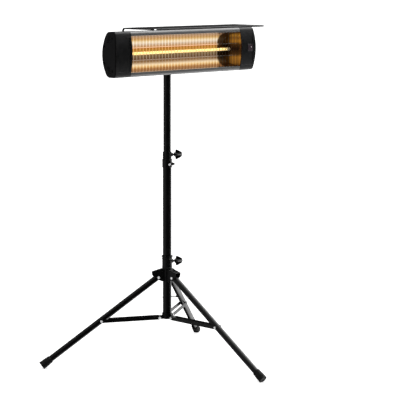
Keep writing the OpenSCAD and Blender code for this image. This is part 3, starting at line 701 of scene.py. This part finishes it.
def section_y(z, inset, front):
    """Y of the head's outline at a height above its middle, on its front or its back."""
    if front:
        big_r, big_y, small_r, small_y, small_z, sign = FRONT_R, FRONT_Y, LIP_R, LIP_Y, LIP_Z, -1
    else:
        big_r, big_y, small_r, small_y, small_z, sign = BACK_R, BACK_Y, CORNER_R, CORNER_Y, CORNER_Z, 1
    join_z = (big_r - inset) * small_z / (big_r - small_r)
    if abs(z) <= join_z:
        return big_y + sign * math.sqrt((big_r - inset) ** 2 - z ** 2)
    return small_y + sign * math.sqrt(max(0.0, (small_r - inset) ** 2 - (abs(z) - small_z) ** 2))


def cap_levels():
    """Heights of the points in the cap's rings, as shares of half its height, closer at the edges."""
    steps = 44
    shares = [math.sin(math.pi / 2 * (2 * k / steps - 1)) for k in range(steps + 1)]
    for height in (PANEL_HALF, PANEL_HALF - PANEL_STEP):
        shares += [height / HALF_H, -height / HALF_H]
    return sorted(shares)


LEVELS = cap_levels()


def crown_x(z):
    """X of the cap's bulging end at a height above the head's middle."""
    return CAP_X1 + CAP_CROWN - CROWN_R + math.sqrt(CROWN_R ** 2 - z ** 2)


def panel_depth(x, z):
    """How far the shallow panel in the cap's front lies under the surface."""
    edge = PANEL_STEP / 2
    inside = PANEL_X0 + edge < x < PANEL_X1 - edge and abs(z) < PANEL_HALF - edge
    return PANEL_DEPTH if inside else 0.0


def cap_ring(x_at, inset):
    """A ring round the cap: up the back and down the front. x_at gives X at a height."""
    heights = [(HALF_H - inset) * share for share in LEVELS]
    back = [Vector((x_at(z), section_y(z, inset, False), HEAD_Z + z)) for z in heights]
    front = []
    for z in reversed(heights):
        x = x_at(z)
        y = section_y(z, inset, True) + (panel_depth(x, z) if inset == 0 else 0)
        front.append(Vector((x, y, HEAD_Z + z)))
    return back + front


def fill_across(bm, ring):
    """Closes the end of a cap with a ladder of faces between its back and its front."""
    count = len(ring) // 2
    for i in range(count - 1):
        bm.faces.new((ring[i], ring[i + 1], ring[-i - 2], ring[-i - 1]))


def cap_body():
    """A hollow cap on the +X side, with a rounded edge round its bulging end."""
    bm = bmesh.new()
    rings = [cap_ring(lambda z: CAP_CAVITY_X, CAP_WALL), cap_ring(lambda z: CAP_X0, CAP_WALL)]
    walls = [CAP_X0, PANEL_X0, PANEL_X0 + PANEL_STEP, (PANEL_X0 + PANEL_X1) / 2, PANEL_X1 - PANEL_STEP,
             PANEL_X1]
    rings += [cap_ring(lambda z, x=x: x, 0) for x in walls]
    steps = 6
    for k in range(steps + 1):
        turn = math.pi / 2 * k / steps
        back_off = CAP_EDGE * (1 - math.sin(turn))
        rings.append(cap_ring(lambda z: crown_x(z) - back_off, CAP_EDGE * (1 - math.cos(turn))))
    made = loft(bm, rings, close=False)
    fill_across(bm, made[0])
    fill_across(bm, made[-1])
    return bm


def slot_cutter(y0, y1, z, half):
    """A slot with round ends, cut along X through the cap's end."""
    bm = bmesh.new()
    outline = rounded_rectangle((y1 - y0) / 2, half, half)
    outline = [p + Vector(((y0 + y1) / 2, z)) for p in outline]
    extrude_x(bm, outline, CAP_X1 - 2 * MM, CAP_HIGH.x + CUT_REACH)
    return new_mesh_object("cutter", bm)


def cap_cutters(right):
    cutters = []
    for side in (-1, 1):
        for y, z in SCREW_SPOTS:
            bm = bmesh.new()
            outline = arc((y, HEAD_Z + side * z), SCREW_SEAT_R, 0, math.tau * 31 / 32, 31)
            extrude_x(bm, outline, CAP_X1 - SCREW_SEAT_DEPTH, CAP_HIGH.x + CUT_REACH)
            cutters.append(new_mesh_object("cutter", bm))
        for k, z in enumerate(VENT_HEIGHTS):
            cutters.append(slot_cutter(VENT_FRONT, VENT_BACK - k * VENT_TAPER, HEAD_Z + side * z, VENT_HALF))
    if right:
        cutters += [lens_cutter(), switch_cutter(), gland_cutter()]
    return cutters


def lens_cutter():
    low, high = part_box("receiver_lens")
    middle = middle_of("receiver_lens")
    gap = 0.2 * MM
    bm = bmesh.new()
    outline = rounded_rectangle((high.x - low.x) / 2 + gap, (high.z - low.z) / 2 + gap, 1.5 * MM)
    rings = [[Vector((middle.x + p.x, y, middle.z + p.y)) for p in outline]
             for y in (CAP_LOW.y - 5 * MM, high.y + 5 * MM)]
    loft(bm, rings)
    return new_mesh_object("cutter", bm)


def switch_cutter():
    low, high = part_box("power_switch")
    middle = middle_of("power_switch")
    half_y = (high.y - low.y) / 2 + 0.4 * MM
    half_z = (high.z - low.z) / 2 + 1.2 * MM
    outline = [p + Vector((middle.y, middle.z)) for p in rounded_rectangle(half_y, half_z, 1 * MM)]
    bm = bmesh.new()
    extrude_x(bm, outline, CAP_X1 - 10 * MM, CAP_HIGH.x + CUT_REACH)
    return new_mesh_object("cutter", bm)


def gland_cutter():
    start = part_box("cable_gland")[0].y - 10 * MM
    middle = middle_of("cable_gland")
    radius = 8.1 * MM
    bm = bmesh.new()
    lathe(bm, [(radius, 0), (radius, 60 * MM)], along_y(middle.x, start, middle.z))
    return new_mesh_object("cutter", bm)


def make_end_caps():
    for side, name in ((1, "right"), (-1, "left")):
        cap = new_mesh_object("cap_" + name, cap_body())
        carve(cap, cap_cutters(side > 0))
        if side < 0:
            cap.data.transform(Matrix.Scale(-1, 4, (1, 0, 0)))
            cap.data.flip_normals()
        dress(cap, CAP_PLASTIC, "head", ["end_cap_" + name])
        make_end_flange(side, name)


def make_end_flange(side, name):
    """The gold flange at the reflector's end, on the cap's side of the window."""
    half_z = WINDOW_HALF + 5 * MM
    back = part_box("reflector")[0].y + 3 * MM
    steps = 12
    heights = [half_z * (k / steps - 1) for k in range(2 * steps + 1)]
    outline = [Vector((section_y(z, CAP_WALL / 2, True), HEAD_Z + z)) for z in heights]
    outline += [Vector((back, HEAD_Z + half_z)), Vector((back, HEAD_Z - half_z))]
    x0, x1 = sorted((side * CAP_X0, side * (CAP_X0 + 2 * MM)))
    bm = bmesh.new()
    extrude_x(bm, outline, x0, x1)
    add_piece("end_flange_" + name, bm, TROUGH_END, "head")


def make_shell():
    """The housing: one sheet bent round the back, with a rolled hem along each edge of the window."""
    middle = SHEET / 2
    steps = 40
    heights = [(HALF_H - middle) * math.sin(math.pi / 2 * k / steps) for k in range(steps + 1)]
    back = [Vector((section_y(z, middle, False), z)) for z in heights]
    start = WINDOW_HALF + middle
    front = [Vector((section_y(z, middle, True), z)) for z in reversed(heights) if z > start]
    lip_y = section_y(start, middle, True)
    hem = fillet([front[-1], (lip_y, start), (lip_y + 3.2 * MM, start)], 1.1 * MM)[1:]
    upper = back[1:] + front + hem
    lower = [Vector((p.x, -p.y)) for p in reversed(upper)]
    path = [Vector((p.x, HEAD_Z + p.y)) for p in lower + [back[0]] + upper]
    bm = bmesh.new()
    extrude_x(bm, sheet_outline(path, SHEET), SHELL_LOW.x, SHELL_HIGH.x, stations=9)
    add_piece("shell", bm, HOUSING_PAINT, "head", ["body_shell"])


def make_visor():
    """A flat visor with round front corners and a hem, on four tabs screwed to the housing's back."""
    low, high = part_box("visor")
    half = VISOR_SHEET / 2
    top = high.z - half
    front = low.y + half
    bend_r = 13.25 * MM
    wall_y = -64.75 * MM
    flange_a = math.radians(13.5)
    corner_a = math.atan2(CORNER_Z, CORNER_Y - BACK_Y)
    wall_a = math.acos((wall_y - CORNER_Y) / (CORNER_R + half))
    flange = arc((BACK_Y, HEAD_Z), BACK_R + half, flange_a, corner_a, 6)
    flange += arc((CORNER_Y, HEAD_Z + CORNER_Z), CORNER_R + half, corner_a, wall_a, 4)[1:]
    bend = arc((wall_y - bend_r, top - bend_r), bend_r, 0, math.pi / 2, 12)
    hem = fillet([(front + 30 * MM, top), (front, top), (front, top - VISOR_HEM)], 1.3 * MM)
    tab = flange + bend
    flat = [bend[-1] + (Vector(hem[0]) - bend[-1]) * k / 4 for k in (1, 2, 3)]
    tab_edges = [x + side * width / 2 for x, width in VISOR_TABS for side in (-1, 1)]
    stations = sorted({low.x, high.x, low.x + VISOR_CORNER, high.x - VISOR_CORNER, 0.0,
                       *[max(low.x, min(high.x, x)) for x in tab_edges]})

    def keep(x, k):
        return k >= len(tab) - 1 or any(abs(x - at) < width / 2 for at, width in VISOR_TABS)

    def reach(p):
        from_front = p.x - low.y
        if from_front >= VISOR_CORNER:
            return 0.0
        return VISOR_CORNER - math.sqrt(max(0.0, VISOR_CORNER ** 2 - (VISOR_CORNER - from_front) ** 2))

    bm = bmesh.new()
    folded_sheet(bm, tab + flat + hem, VISOR_SHEET, stations, keep, reach)
    for side in (-1, 1):
        side_hem(bm, side, low.y + VISOR_CORNER, wall_y - bend_r / 2)
    visor = add_piece("visor_sheet", bm, VISOR_PAINT, "head", ["visor"])
    visor.visible_glossy = False


def side_hem(bm, side, y0, y1):
    """The visor's edge at one end, folded down. It lies just inside the sheet's own faces."""
    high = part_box("visor")[1]
    inset = 0.1 * MM
    outer, inner = side * (high.x - inset), side * (high.x - VISOR_SHEET)
    middle_x, middle_z = (inner + outer) / 2, high.z - inset - VISOR_HEM / 2
    outline = rounded_rectangle(abs(outer - inner) / 2, VISOR_HEM / 2, 0.3 * MM, 2)
    loft(bm, [[Vector((middle_x + p.x, y, middle_z + p.y)) for p in outline] for y in (y0, y1)])


def make_trough():
    """The reflector: a smooth trough through the CAD trough's corners."""
    low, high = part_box("reflector")
    middle = TROUGH_SHEET / 2
    half_z = (high.z - low.z) / 2 - middle
    knots = [(high.y, 0), (high.y, 20 * MM), (-66 * MM, 42 * MM), (-80 * MM, 60 * MM), (low.y, half_z)]
    upper = fillet(knots, 30 * MM, 8)
    path = [Vector((p.x, -p.y)) for p in reversed(upper[1:])] + upper
    path = [Vector((p.x - middle, HEAD_Z + p.y)) for p in path]
    bm = bmesh.new()
    extrude_x(bm, sheet_outline(path, TROUGH_SHEET), low.x, high.x, stations=5)
    add_piece("trough", bm, TROUGH, "head", ["reflector"])


def make_heat_tube():
    """A hollow quartz tube with narrower ends, and the coil in it."""
    wall = 1.2 * MM
    half = TUBE_HIGH.x
    neck = 5 * MM
    profile = fillet([(0.1 * MM, -half), (TUBE_R * 0.6, -half), (TUBE_R, -half + neck),
                      (TUBE_R, half - neck), (TUBE_R * 0.6, half), (0.1 * MM, half)], 3 * MM)
    inner = [(max(0.05 * MM, r - wall), h * (half - wall) / half) for r, h in profile]
    place = along_x(0, TUBE_Y, HEAD_Z)
    bm = bmesh.new()
    lathe(bm, profile, place, 32)
    outer_faces = list(bm.faces)
    lathe(bm, inner, place, 32)
    inner_faces = [f for f in bm.faces if f not in set(outer_faces)]
    bmesh.ops.recalc_face_normals(bm, faces=outer_faces)
    bmesh.ops.recalc_face_normals(bm, faces=inner_faces)
    bmesh.ops.reverse_faces(bm, faces=inner_faces)
    mesh = bpy.data.meshes.new("quartz_tube")
    bm.to_mesh(mesh)
    bm.free()
    mesh.shade_smooth()
    tube = bpy.data.objects.new("quartz_tube", mesh)
    bpy.context.scene.collection.objects.link(tube)
    dress(tube, QUARTZ, "head", ["heat_tube"])

    make_coil()


def make_coil():
    """The element: a wire wound along the tube."""
    coil_r, pitch, per_turn = 3.6 * MM, 5.2 * MM, 12
    turns = int(2 * GLOW_HALF / pitch)
    path = []
    for k in range(turns * per_turn + 1):
        angle = math.tau * k / per_turn
        x = -turns * pitch / 2 + pitch * k / per_turn
        path.append((x, TUBE_Y + coil_r * math.cos(angle), HEAD_Z + coil_r * math.sin(angle)))
    bm = bmesh.new()
    sweep(bm, path, 0.9 * MM, 6)
    add_piece("coil", bm, COIL, "head", ["filament"])


def make_guard():
    """Upright wires hooked over four long ones."""
    low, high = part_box("guard_grille")
    upright_y = low.y + WIRE_R
    long_y = high.y - CROSS_WIRE_R
    half_z = (high.z - low.z) / 2 - CROSS_WIRE_R - 2 * WIRE_R
    wrap = long_y - upright_y
    end_gap = 6 * MM
    count = int((SHELL_HIGH.x - end_gap) / WIRE_PITCH)
    bm = bmesh.new()
    for k in range(-count, count + 1):
        top = arc((long_y, half_z), wrap, math.pi, 0, 8) + [Vector((long_y + wrap, half_z - 3 * MM))]
        side = [Vector((p.x, -p.y)) for p in reversed(top)]
        middle = [Vector((upright_y, half_z * share)) for share in (-0.5, 0, 0.5)]
        sweep(bm, [(k * WIRE_PITCH, p.x, HEAD_Z + p.y) for p in side + middle + top], WIRE_R, 8)
    reach = SHELL_HIGH.x - 2.5 * MM
    for z in (-half_z, -LONG_WIRE_Z, LONG_WIRE_Z, half_z):
        sweep(bm, [(reach * share, long_y, HEAD_Z + z) for share in (-1, -0.5, 0, 0.5, 1)], CROSS_WIRE_R, 10)
    add_piece("guard", bm, GUARD_WIRE, "head", ["guard_grille"])


# Knobs, collars and feet

def wing_form(bm, place, span):
    """A knob with four round-edged wings that taper to its outer end, along the place's Z."""
    neck, core = 8.4 * MM, 6.6 * MM
    end = KNOB_LENGTH
    # Height, radius between the wings, and the wings' share of their full span there
    stations = [
        (0.0, neck * 0.9, 0), (0.8 * MM, neck, 0), (3.2 * MM, neck, 0), (4.4 * MM, neck * 0.96, 0.25),
        (5.2 * MM, core, 0.82), (6.5 * MM, core, 0.97), (8.5 * MM, core, 1.0), (11 * MM, core, 0.97),
        (15 * MM, core, 0.84), (20 * MM, core, 0.66), (25 * MM, core, 0.46), (29 * MM, core * 0.95, 0.3),
        (31.5 * MM, core * 0.85, 0.2), (end - 0.8 * MM, core * 0.66, 0.1), (end, core * 0.45, 0.02)]
    segments = 96
    rings = []
    for height, radius, share in stations:
        ring = []
        for k in range(segments):
            turn = math.tau * k / segments
            wing = math.cos(2 * turn) ** 10
            r = radius + (span - radius) * share * wing
            ring.append(place @ Vector((r * math.cos(turn), r * math.sin(turn), height)))
        rings.append(ring)
    loft(bm, rings)


def make_wing_knobs():
    for node in ("collar_knob", "height_knob"):
        middle_z = middle_of(node + "_stud").z
        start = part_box(node + "_stud")[1].x / math.cos(KNOB_ANGLE) - 2 * MM
        bm = bmesh.new()
        wing_form(bm, outward(KNOB_ANGLE, start, middle_z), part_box(node)[1].z - middle_z)
        add_piece(node + "_wings", bm, KNOB_PLASTIC, node, [node], sharp=50)


def make_socket_knob():
    """The socket's wing knob and its stud, in one piece."""
    low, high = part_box("socket_knob")
    height = PIVOTS["socket_knob_turn"].z
    stud_r, stud_l = 3.45 * MM, 16 * MM
    bm = bmesh.new()
    wing_form(bm, along_y(0, high.y - KNOB_LENGTH, height), SOCKET_KNOB_SPAN)
    lathe(bm, [(stud_r, 0), (stud_r, stud_l)], along_y(0, low.y, height), 24)
    add_piece("socket_knob_wings", bm, KNOB_PLASTIC, "socket_knob", ["socket_knob"], sharp=50)


def make_tilt_knob():
    """A fluted hand knob with a dished end."""
    low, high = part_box("tilt_knob")
    middle = middle_of("tilt_knob")
    length = high.x - low.x
    radius = (high.z - low.z) / 2

    def flutes(turn, height):
        return 1 - 0.09 * (0.5 - 0.5 * math.cos(12 * turn)) if 1 * MM < height < length - 1 * MM else 0.93

    profile = [(radius * 0.9, 0), (radius * 0.93, 0.6 * MM), (radius, 2.2 * MM), (radius, length / 2),
               (radius, length - 2.4 * MM), (radius * 0.95, length - 0.8 * MM), (radius * 0.82, length),
               (radius * 0.7, length - 0.3 * MM), (radius * 0.6, length - 1.1 * MM),
               (radius * 0.2, length - 1.3 * MM)]
    bm = bmesh.new()
    lathe(bm, profile, along_x(low.x, middle.y, middle.z), 96, ripple=flutes)
    add_piece("tilt_hand_knob", bm, KNOB_PLASTIC, "tilt_knob", ["tilt_knob"], sharp=50)


def boss(bm, angle, start, end, z, radius):
    """A round boss that a knob's stud passes through, with a rounded rim and a small fillet at its root."""
    length = end - start
    profile = fillet([(radius + 2.2 * MM, 0), (radius, 2.6 * MM), (radius, length), (radius * 0.62, length),
                      (radius * 0.55, length - 0.5 * MM)], 0.9 * MM)
    lathe(bm, profile, outward(angle, start, z), 40)


def make_height_clamp():
    """A cup on the lower tube and a neck round the upper one, with two pairs of ribs and two bosses."""
    low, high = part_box("height_clamp")
    step_z = CLAMP_STEP_Z
    cup_r, neck_r = MAST_R + SLEEVE_WALL, MAST_R
    bore = UPPER_R + 0.1 * MM
    outer = [(MAST_R + 0.05 * MM, low.z), (cup_r, low.z), (cup_r, low.z + 3 * MM),
             (cup_r - 0.5 * MM, low.z + 4 * MM), (cup_r - 0.5 * MM, step_z - 5 * MM),
             (cup_r, step_z - 4 * MM), (cup_r, step_z), (neck_r, step_z + 0.4 * MM),
             (neck_r - 0.2 * MM, high.z - 4 * MM), (neck_r + 0.5 * MM, high.z - 3.4 * MM),
             (neck_r + 0.3 * MM, high.z), (bore, high.z)]
    bm = bmesh.new()
    lathe(bm, fillet(outer, 0.8 * MM), segments=96)
    boss(bm, KNOB_ANGLE, UPPER_R + 1 * MM, 24 * MM, middle_of("height_knob_stud").z, KNOB_BOSS_R)
    lug_angle = KNOB_ANGLE - math.radians(8)
    boss(bm, lug_angle, cup_r - 3 * MM, cup_r + 5 * MM, middle_of("clamp_bolt").z, 6 * MM)
    rib_r = neck_r - 0.2 * MM
    for side in (-1, 1):
        for shift in (-5, 5):
            turn = Matrix.Rotation(KNOB_ANGLE + math.radians(side * 150 + shift), 4, "Z")
            path = [turn @ Vector((rib_r, 0, z)) for z in (step_z, (step_z + high.z) / 2, high.z - 4 * MM)]
            sweep(bm, path, 1.0 * MM, 10)
    add_piece("clamp_body", bm, BLACK_PLASTIC, "mast", ["height_clamp"])


def make_leg_collar():
    """The sliding collar above the crown, with beads round it and a boss for its knob."""
    low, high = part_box("leg_collar")
    radius = MAST_R + SLEEVE_WALL
    bead = 1.5 * MM
    bore = MAST_R + 0.1 * MM
    profile = [(bore, low.z), (radius, low.z)]
    for z in (low.z + 6 * MM, high.z - 12 * MM):
        profile += [(radius, z - 1.6 * MM), (radius + bead, z), (radius, z + 1.6 * MM)]
    profile += [(radius, high.z - 5 * MM), (radius + 3 * MM, high.z - 4 * MM), (radius + 3 * MM, high.z),
                (bore, high.z)]
    bm = bmesh.new()
    lathe(bm, fillet(profile, 0.8 * MM), segments=96)
    boss(bm, KNOB_ANGLE, MAST_R + 1 * MM, 26 * MM, middle_of("collar_knob_stud").z, KNOB_BOSS_R)
    add_piece("collar_body", bm, BLACK_PLASTIC, "collar", ["leg_collar"])


def make_foot_caps():
    """Rubber caps with a bead round the mouth and grip rings, cut flat on the floor."""
    up = (LEG_PIVOT - FOOT).normalized()
    side = Vector((0, 1, 0))
    stand = Matrix((side.cross(up), side, up)).transposed().to_4x4()
    radius, length = 17 * MM, 42 * MM
    mouth_r = 13.6 * MM
    floor_gap = 0.02 * MM
    profile = [(4 * MM, 0.8 * MM), (8 * MM, 0.8 * MM), (10 * MM, 0), (radius - 0.2 * MM, 0), (radius, 3 * MM)]
    for k in range(3):
        z = (9 + 5 * k) * MM
        profile += [(radius - 0.3 * MM, z), (radius - 1.0 * MM, z + 0.9 * MM),
                    (radius - 0.4 * MM, z + 1.8 * MM)]
    profile += [(radius - 1.4 * MM, length - 10 * MM), (radius - 2.2 * MM, length - 3 * MM),
                (radius - 1.2 * MM, length - 1 * MM), (radius - 1.6 * MM, length + 1.6 * MM),
                (mouth_r, length + 4 * MM), (mouth_r - 1 * MM, length + 4.6 * MM)]
    for i, angle in enumerate(LEG_ANGLES, 1):
        place = Matrix.Rotation(angle, 4, "Z") @ Matrix.Translation(FOOT) @ stand
        bm = bmesh.new()
        lathe(bm, fillet(profile, 1.1 * MM), place, 64)
        everything = bm.verts[:] + bm.edges[:] + bm.faces[:]
        cut = bmesh.ops.bisect_plane(bm, geom=everything, plane_co=(0, 0, floor_gap), plane_no=(0, 0, 1),
                                     clear_inner=True)
        rim = [e for e in cut["geom_cut"] if isinstance(e, bmesh.types.BMEdge)]
        bmesh.ops.contextual_create(bm, geom=rim)
        add_piece(f"foot_{i}_rubber", bm, RUBBER, f"leg_{i}", [f"foot_cap_{i}"])


# Small pieces on the end caps

def make_lens_trim():
    """A thin frame round the receiver's window and the small light behind it."""
    low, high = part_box("receiver_lens")
    middle = middle_of("receiver_lens")
    half_x, half_z = (high.x - low.x) / 2, (high.z - low.z) / 2
    bm = bmesh.new()
    path = []
    for p in rounded_rectangle(half_x + 0.5 * MM, half_z + 0.5 * MM, 2 * MM):
        z = middle.z + p.y
        path.append((middle.x + p.x, section_y(z - HEAD_Z, 0, True) + PANEL_DEPTH, z))
    sweep(bm, path, 0.7 * MM, 8, closed=True)
    add_piece("lens_frame", bm, BLACK_PLASTIC, "head")

    spot = Vector((middle.x + 5 * MM, 0, middle.z + 2 * MM))
    front = section_y(spot.z - HEAD_Z, 0, True) + 0.6 * MM
    dome = fillet([(0.2 * MM, -1.2 * MM), (1.9 * MM, -1.2 * MM), (1.6 * MM, 0.7 * MM), (0.2 * MM, 0.9 * MM)],
                  0.5 * MM)
    bm = bmesh.new()
    lathe(bm, dome, Matrix.Translation((spot.x, front, spot.z)) @ Matrix.Rotation(math.pi / 2, 4, "X"), 24)
    add_piece("indicator", bm, INDICATOR, "head")


def make_switch_frame():
    """A frame round the rocker switch, standing a little proud of the cap."""
    low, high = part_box("power_switch")
    middle = middle_of("power_switch")
    half_y = (high.y - low.y) / 2 + 1.1 * MM
    half_z = (high.z - low.z) / 2 + 2.0 * MM
    bm = bmesh.new()
    path = []
    for p in rounded_rectangle(half_y, half_z, 1.6 * MM):
        path.append((crown_x(p.y) + 0.1 * MM, middle.y + p.x, middle.z + p.y))
    sweep(bm, path, 0.9 * MM, 8, closed=True)
    add_piece("switch_frame", bm, BLACK_PLASTIC, "head")


# CAD nodes that stay visible

NODE_MATERIALS = {
    BLACK_STEEL: ["lower_tube", "upper_tube", "leg_crown", "mast_socket", "rear_bracket",
                  *[f"{part}_{i}" for part in ("leg_tube", "stay") for i in (1, 2, 3)]],
    BLACK_PLASTIC: ["bottom_hub", "mast_foot_plug", "upper_tube_guide", "cable_gland", "power_switch",
                    *[f"leg_bush_{i}" for i in (1, 2, 3)]],
    RUBBER: ["end_seal_left", "end_seal_right"],
    DARK_STEEL: ["lock_pin", "cap_screws", "visor_screws", "clamp_bolt", "collar_knob_stud",
                 "height_knob_stud"],
    BRIGHT_STEEL: ["hub_bolts", "clamp_rivet", "crown_bolts", "tilt_bolt", "bracket_screws",
                   *[f"stay_rivets_{i}" for i in (1, 2, 3)]],
    TROUGH_END: ["reflector_ends"],
    CERAMIC: ["tube_holders", "terminal_block"],
    BOARD: ["control_board"],
    SLEEVE: ["lead_wires"],
    LENS: ["receiver_lens"],
}
SOFT_EDGES = {
    0.7 * MM: ["leg_crown", "mast_socket", "rear_bracket", "bottom_hub", "mast_foot_plug"],
    0.5 * MM: ["power_switch", "cable_gland", "tube_holders", "terminal_block",
               *[f"stay_{i}" for i in (1, 2, 3)], *[f"leg_bush_{i}" for i in (1, 2, 3)]],
    0.3 * MM: ["clamp_bolt", "tilt_bolt", "lock_pin", "cap_screws", "receiver_lens"],
}


def dress_cad_nodes():
    for material, names in NODE_MATERIALS.items():
        for name in names:
            slots = NODES[name].data.materials
            slots.clear()
            slots.append(material)
    for width, names in SOFT_EDGES.items():
        for name in names:
            soften(name, width)


# Floor, lights and camera

def make_floor():
    """A pale floor out to the skyline, with a light of its own that keeps it white away from shadows."""
    bm = bmesh.new()
    half_width = 150
    bmesh.ops.create_grid(bm, x_segments=1, y_segments=1, size=half_width)
    floor = new_mesh_object("floor", bm)
    material, shader = new_material("pale_floor", 0.9, Specular_IOR_Level=0.0, Emission_Strength=0.72)
    shader.inputs["Base Color"].default_value = (0.93, 0.93, 0.93, 1)
    shader.inputs["Emission Color"].default_value = (1, 1, 1, 1)
    floor.data.materials.append(material)
    floor.location.z = CAD_LOW.z - 0.2 * MM
    floor.visible_glossy = False


def background(tree, strength):
    made = tree.nodes.new("ShaderNodeBackground")
    made.inputs["Color"].default_value = (1, 1, 1, 1)
    made.inputs["Strength"].default_value = strength
    return made


def facing(tree, direction, radiance, inner, outer):
    """Light from a round part of the sky: full within one angle of a direction and none beyond another."""
    place = tree.nodes.new("ShaderNodeTexCoord")
    dot = tree.nodes.new("ShaderNodeVectorMath")
    dot.operation = "DOT_PRODUCT"
    dot.inputs[1].default_value = Vector(direction).normalized()
    spread = tree.nodes.new("ShaderNodeMapRange")
    spread.interpolation_type = "SMOOTHSTEP"
    for name, value in (("From Min", math.cos(math.radians(outer))),
                        ("From Max", math.cos(math.radians(inner))), ("To Max", radiance)):
        spread.inputs[name].default_value = value
    tree.links.new(place.outputs["Generated"], dot.inputs[0])
    tree.links.new(dot.outputs["Value"], spread.inputs["Value"])
    return spread.outputs["Result"]


def choose(tree, switch, otherwise, chosen):
    mix = tree.nodes.new("ShaderNodeMixShader")
    tree.links.new(switch, mix.inputs["Fac"])
    tree.links.new(otherwise, mix.inputs[1])
    tree.links.new(chosen, mix.inputs[2])
    return mix.outputs["Shader"]


def make_studio():
    """White behind the object and even on matt surfaces. Reflections see a dark room with soft lights."""
    world = bpy.data.worlds.new("studio")
    world.use_nodes = True
    tree = world.node_tree
    tree.nodes.remove(tree.nodes["Background"])
    seen = background(tree, 1.0)
    soft = background(tree, 0.4)
    room = background(tree, 1.0)
    total = None
    for lit in SOFT_LIGHTS:
        part = facing(tree, *lit)
        if total is not None:
            add = tree.nodes.new("ShaderNodeMath")
            tree.links.new(total, add.inputs[0])
            tree.links.new(part, add.inputs[1])
            part = add.outputs["Value"]
        total = part
    tree.links.new(total, room.inputs["Strength"])
    rays = tree.nodes.new("ShaderNodeLightPath")
    light = choose(tree, rays.outputs["Is Glossy Ray"], soft.outputs["Background"],
                   room.outputs["Background"])
    light = choose(tree, rays.outputs["Is Camera Ray"], light, seen.outputs["Background"])
    tree.links.new(light, tree.nodes["World Output"].inputs["Surface"])
    bpy.context.scene.world = world


def make_sun():
    """A broad soft light from above that leaves no highlight of its own."""
    light = bpy.data.lights.new("sky", "SUN")
    light.energy = 1.2
    light.angle = math.radians(60)
    sun = bpy.data.objects.new("sky", light)
    sun.visible_glossy = False
    bpy.context.scene.collection.objects.link(sun)


def make_camera():
    data = bpy.data.cameras.new("camera")
    data.sensor_width = CAMERA_SENSOR
    data.lens = CAMERA_LENS
    camera = bpy.data.objects.new("camera", data)
    place = Vector((math.sin(CAMERA_AZIMUTH), -math.cos(CAMERA_AZIMUTH), 0)) * CAMERA_DISTANCE
    place.z = CAMERA_HEIGHT
    camera.matrix_world = (Matrix.Translation(place)
                           @ Matrix.Rotation(CAMERA_AZIMUTH - CAMERA_PAN, 4, "Z")
                           @ Matrix.Rotation(math.pi / 2 - CAMERA_PITCH, 4, "X")
                           @ Matrix.Rotation(CAMERA_ROLL, 4, "Z"))
    bpy.context.scene.collection.objects.link(camera)
    bpy.context.scene.camera = camera
    bpy.context.scene.view_settings.view_transform = "Standard"


make_shell()
make_end_caps()
make_visor()
make_trough()
make_heat_tube()
make_guard()
make_wing_knobs()
make_socket_knob()
make_tilt_knob()
make_height_clamp()
make_leg_collar()
make_foot_caps()
make_lens_trim()
make_switch_frame()
dress_cad_nodes()
make_floor()
make_studio()
make_sun()
make_camera()
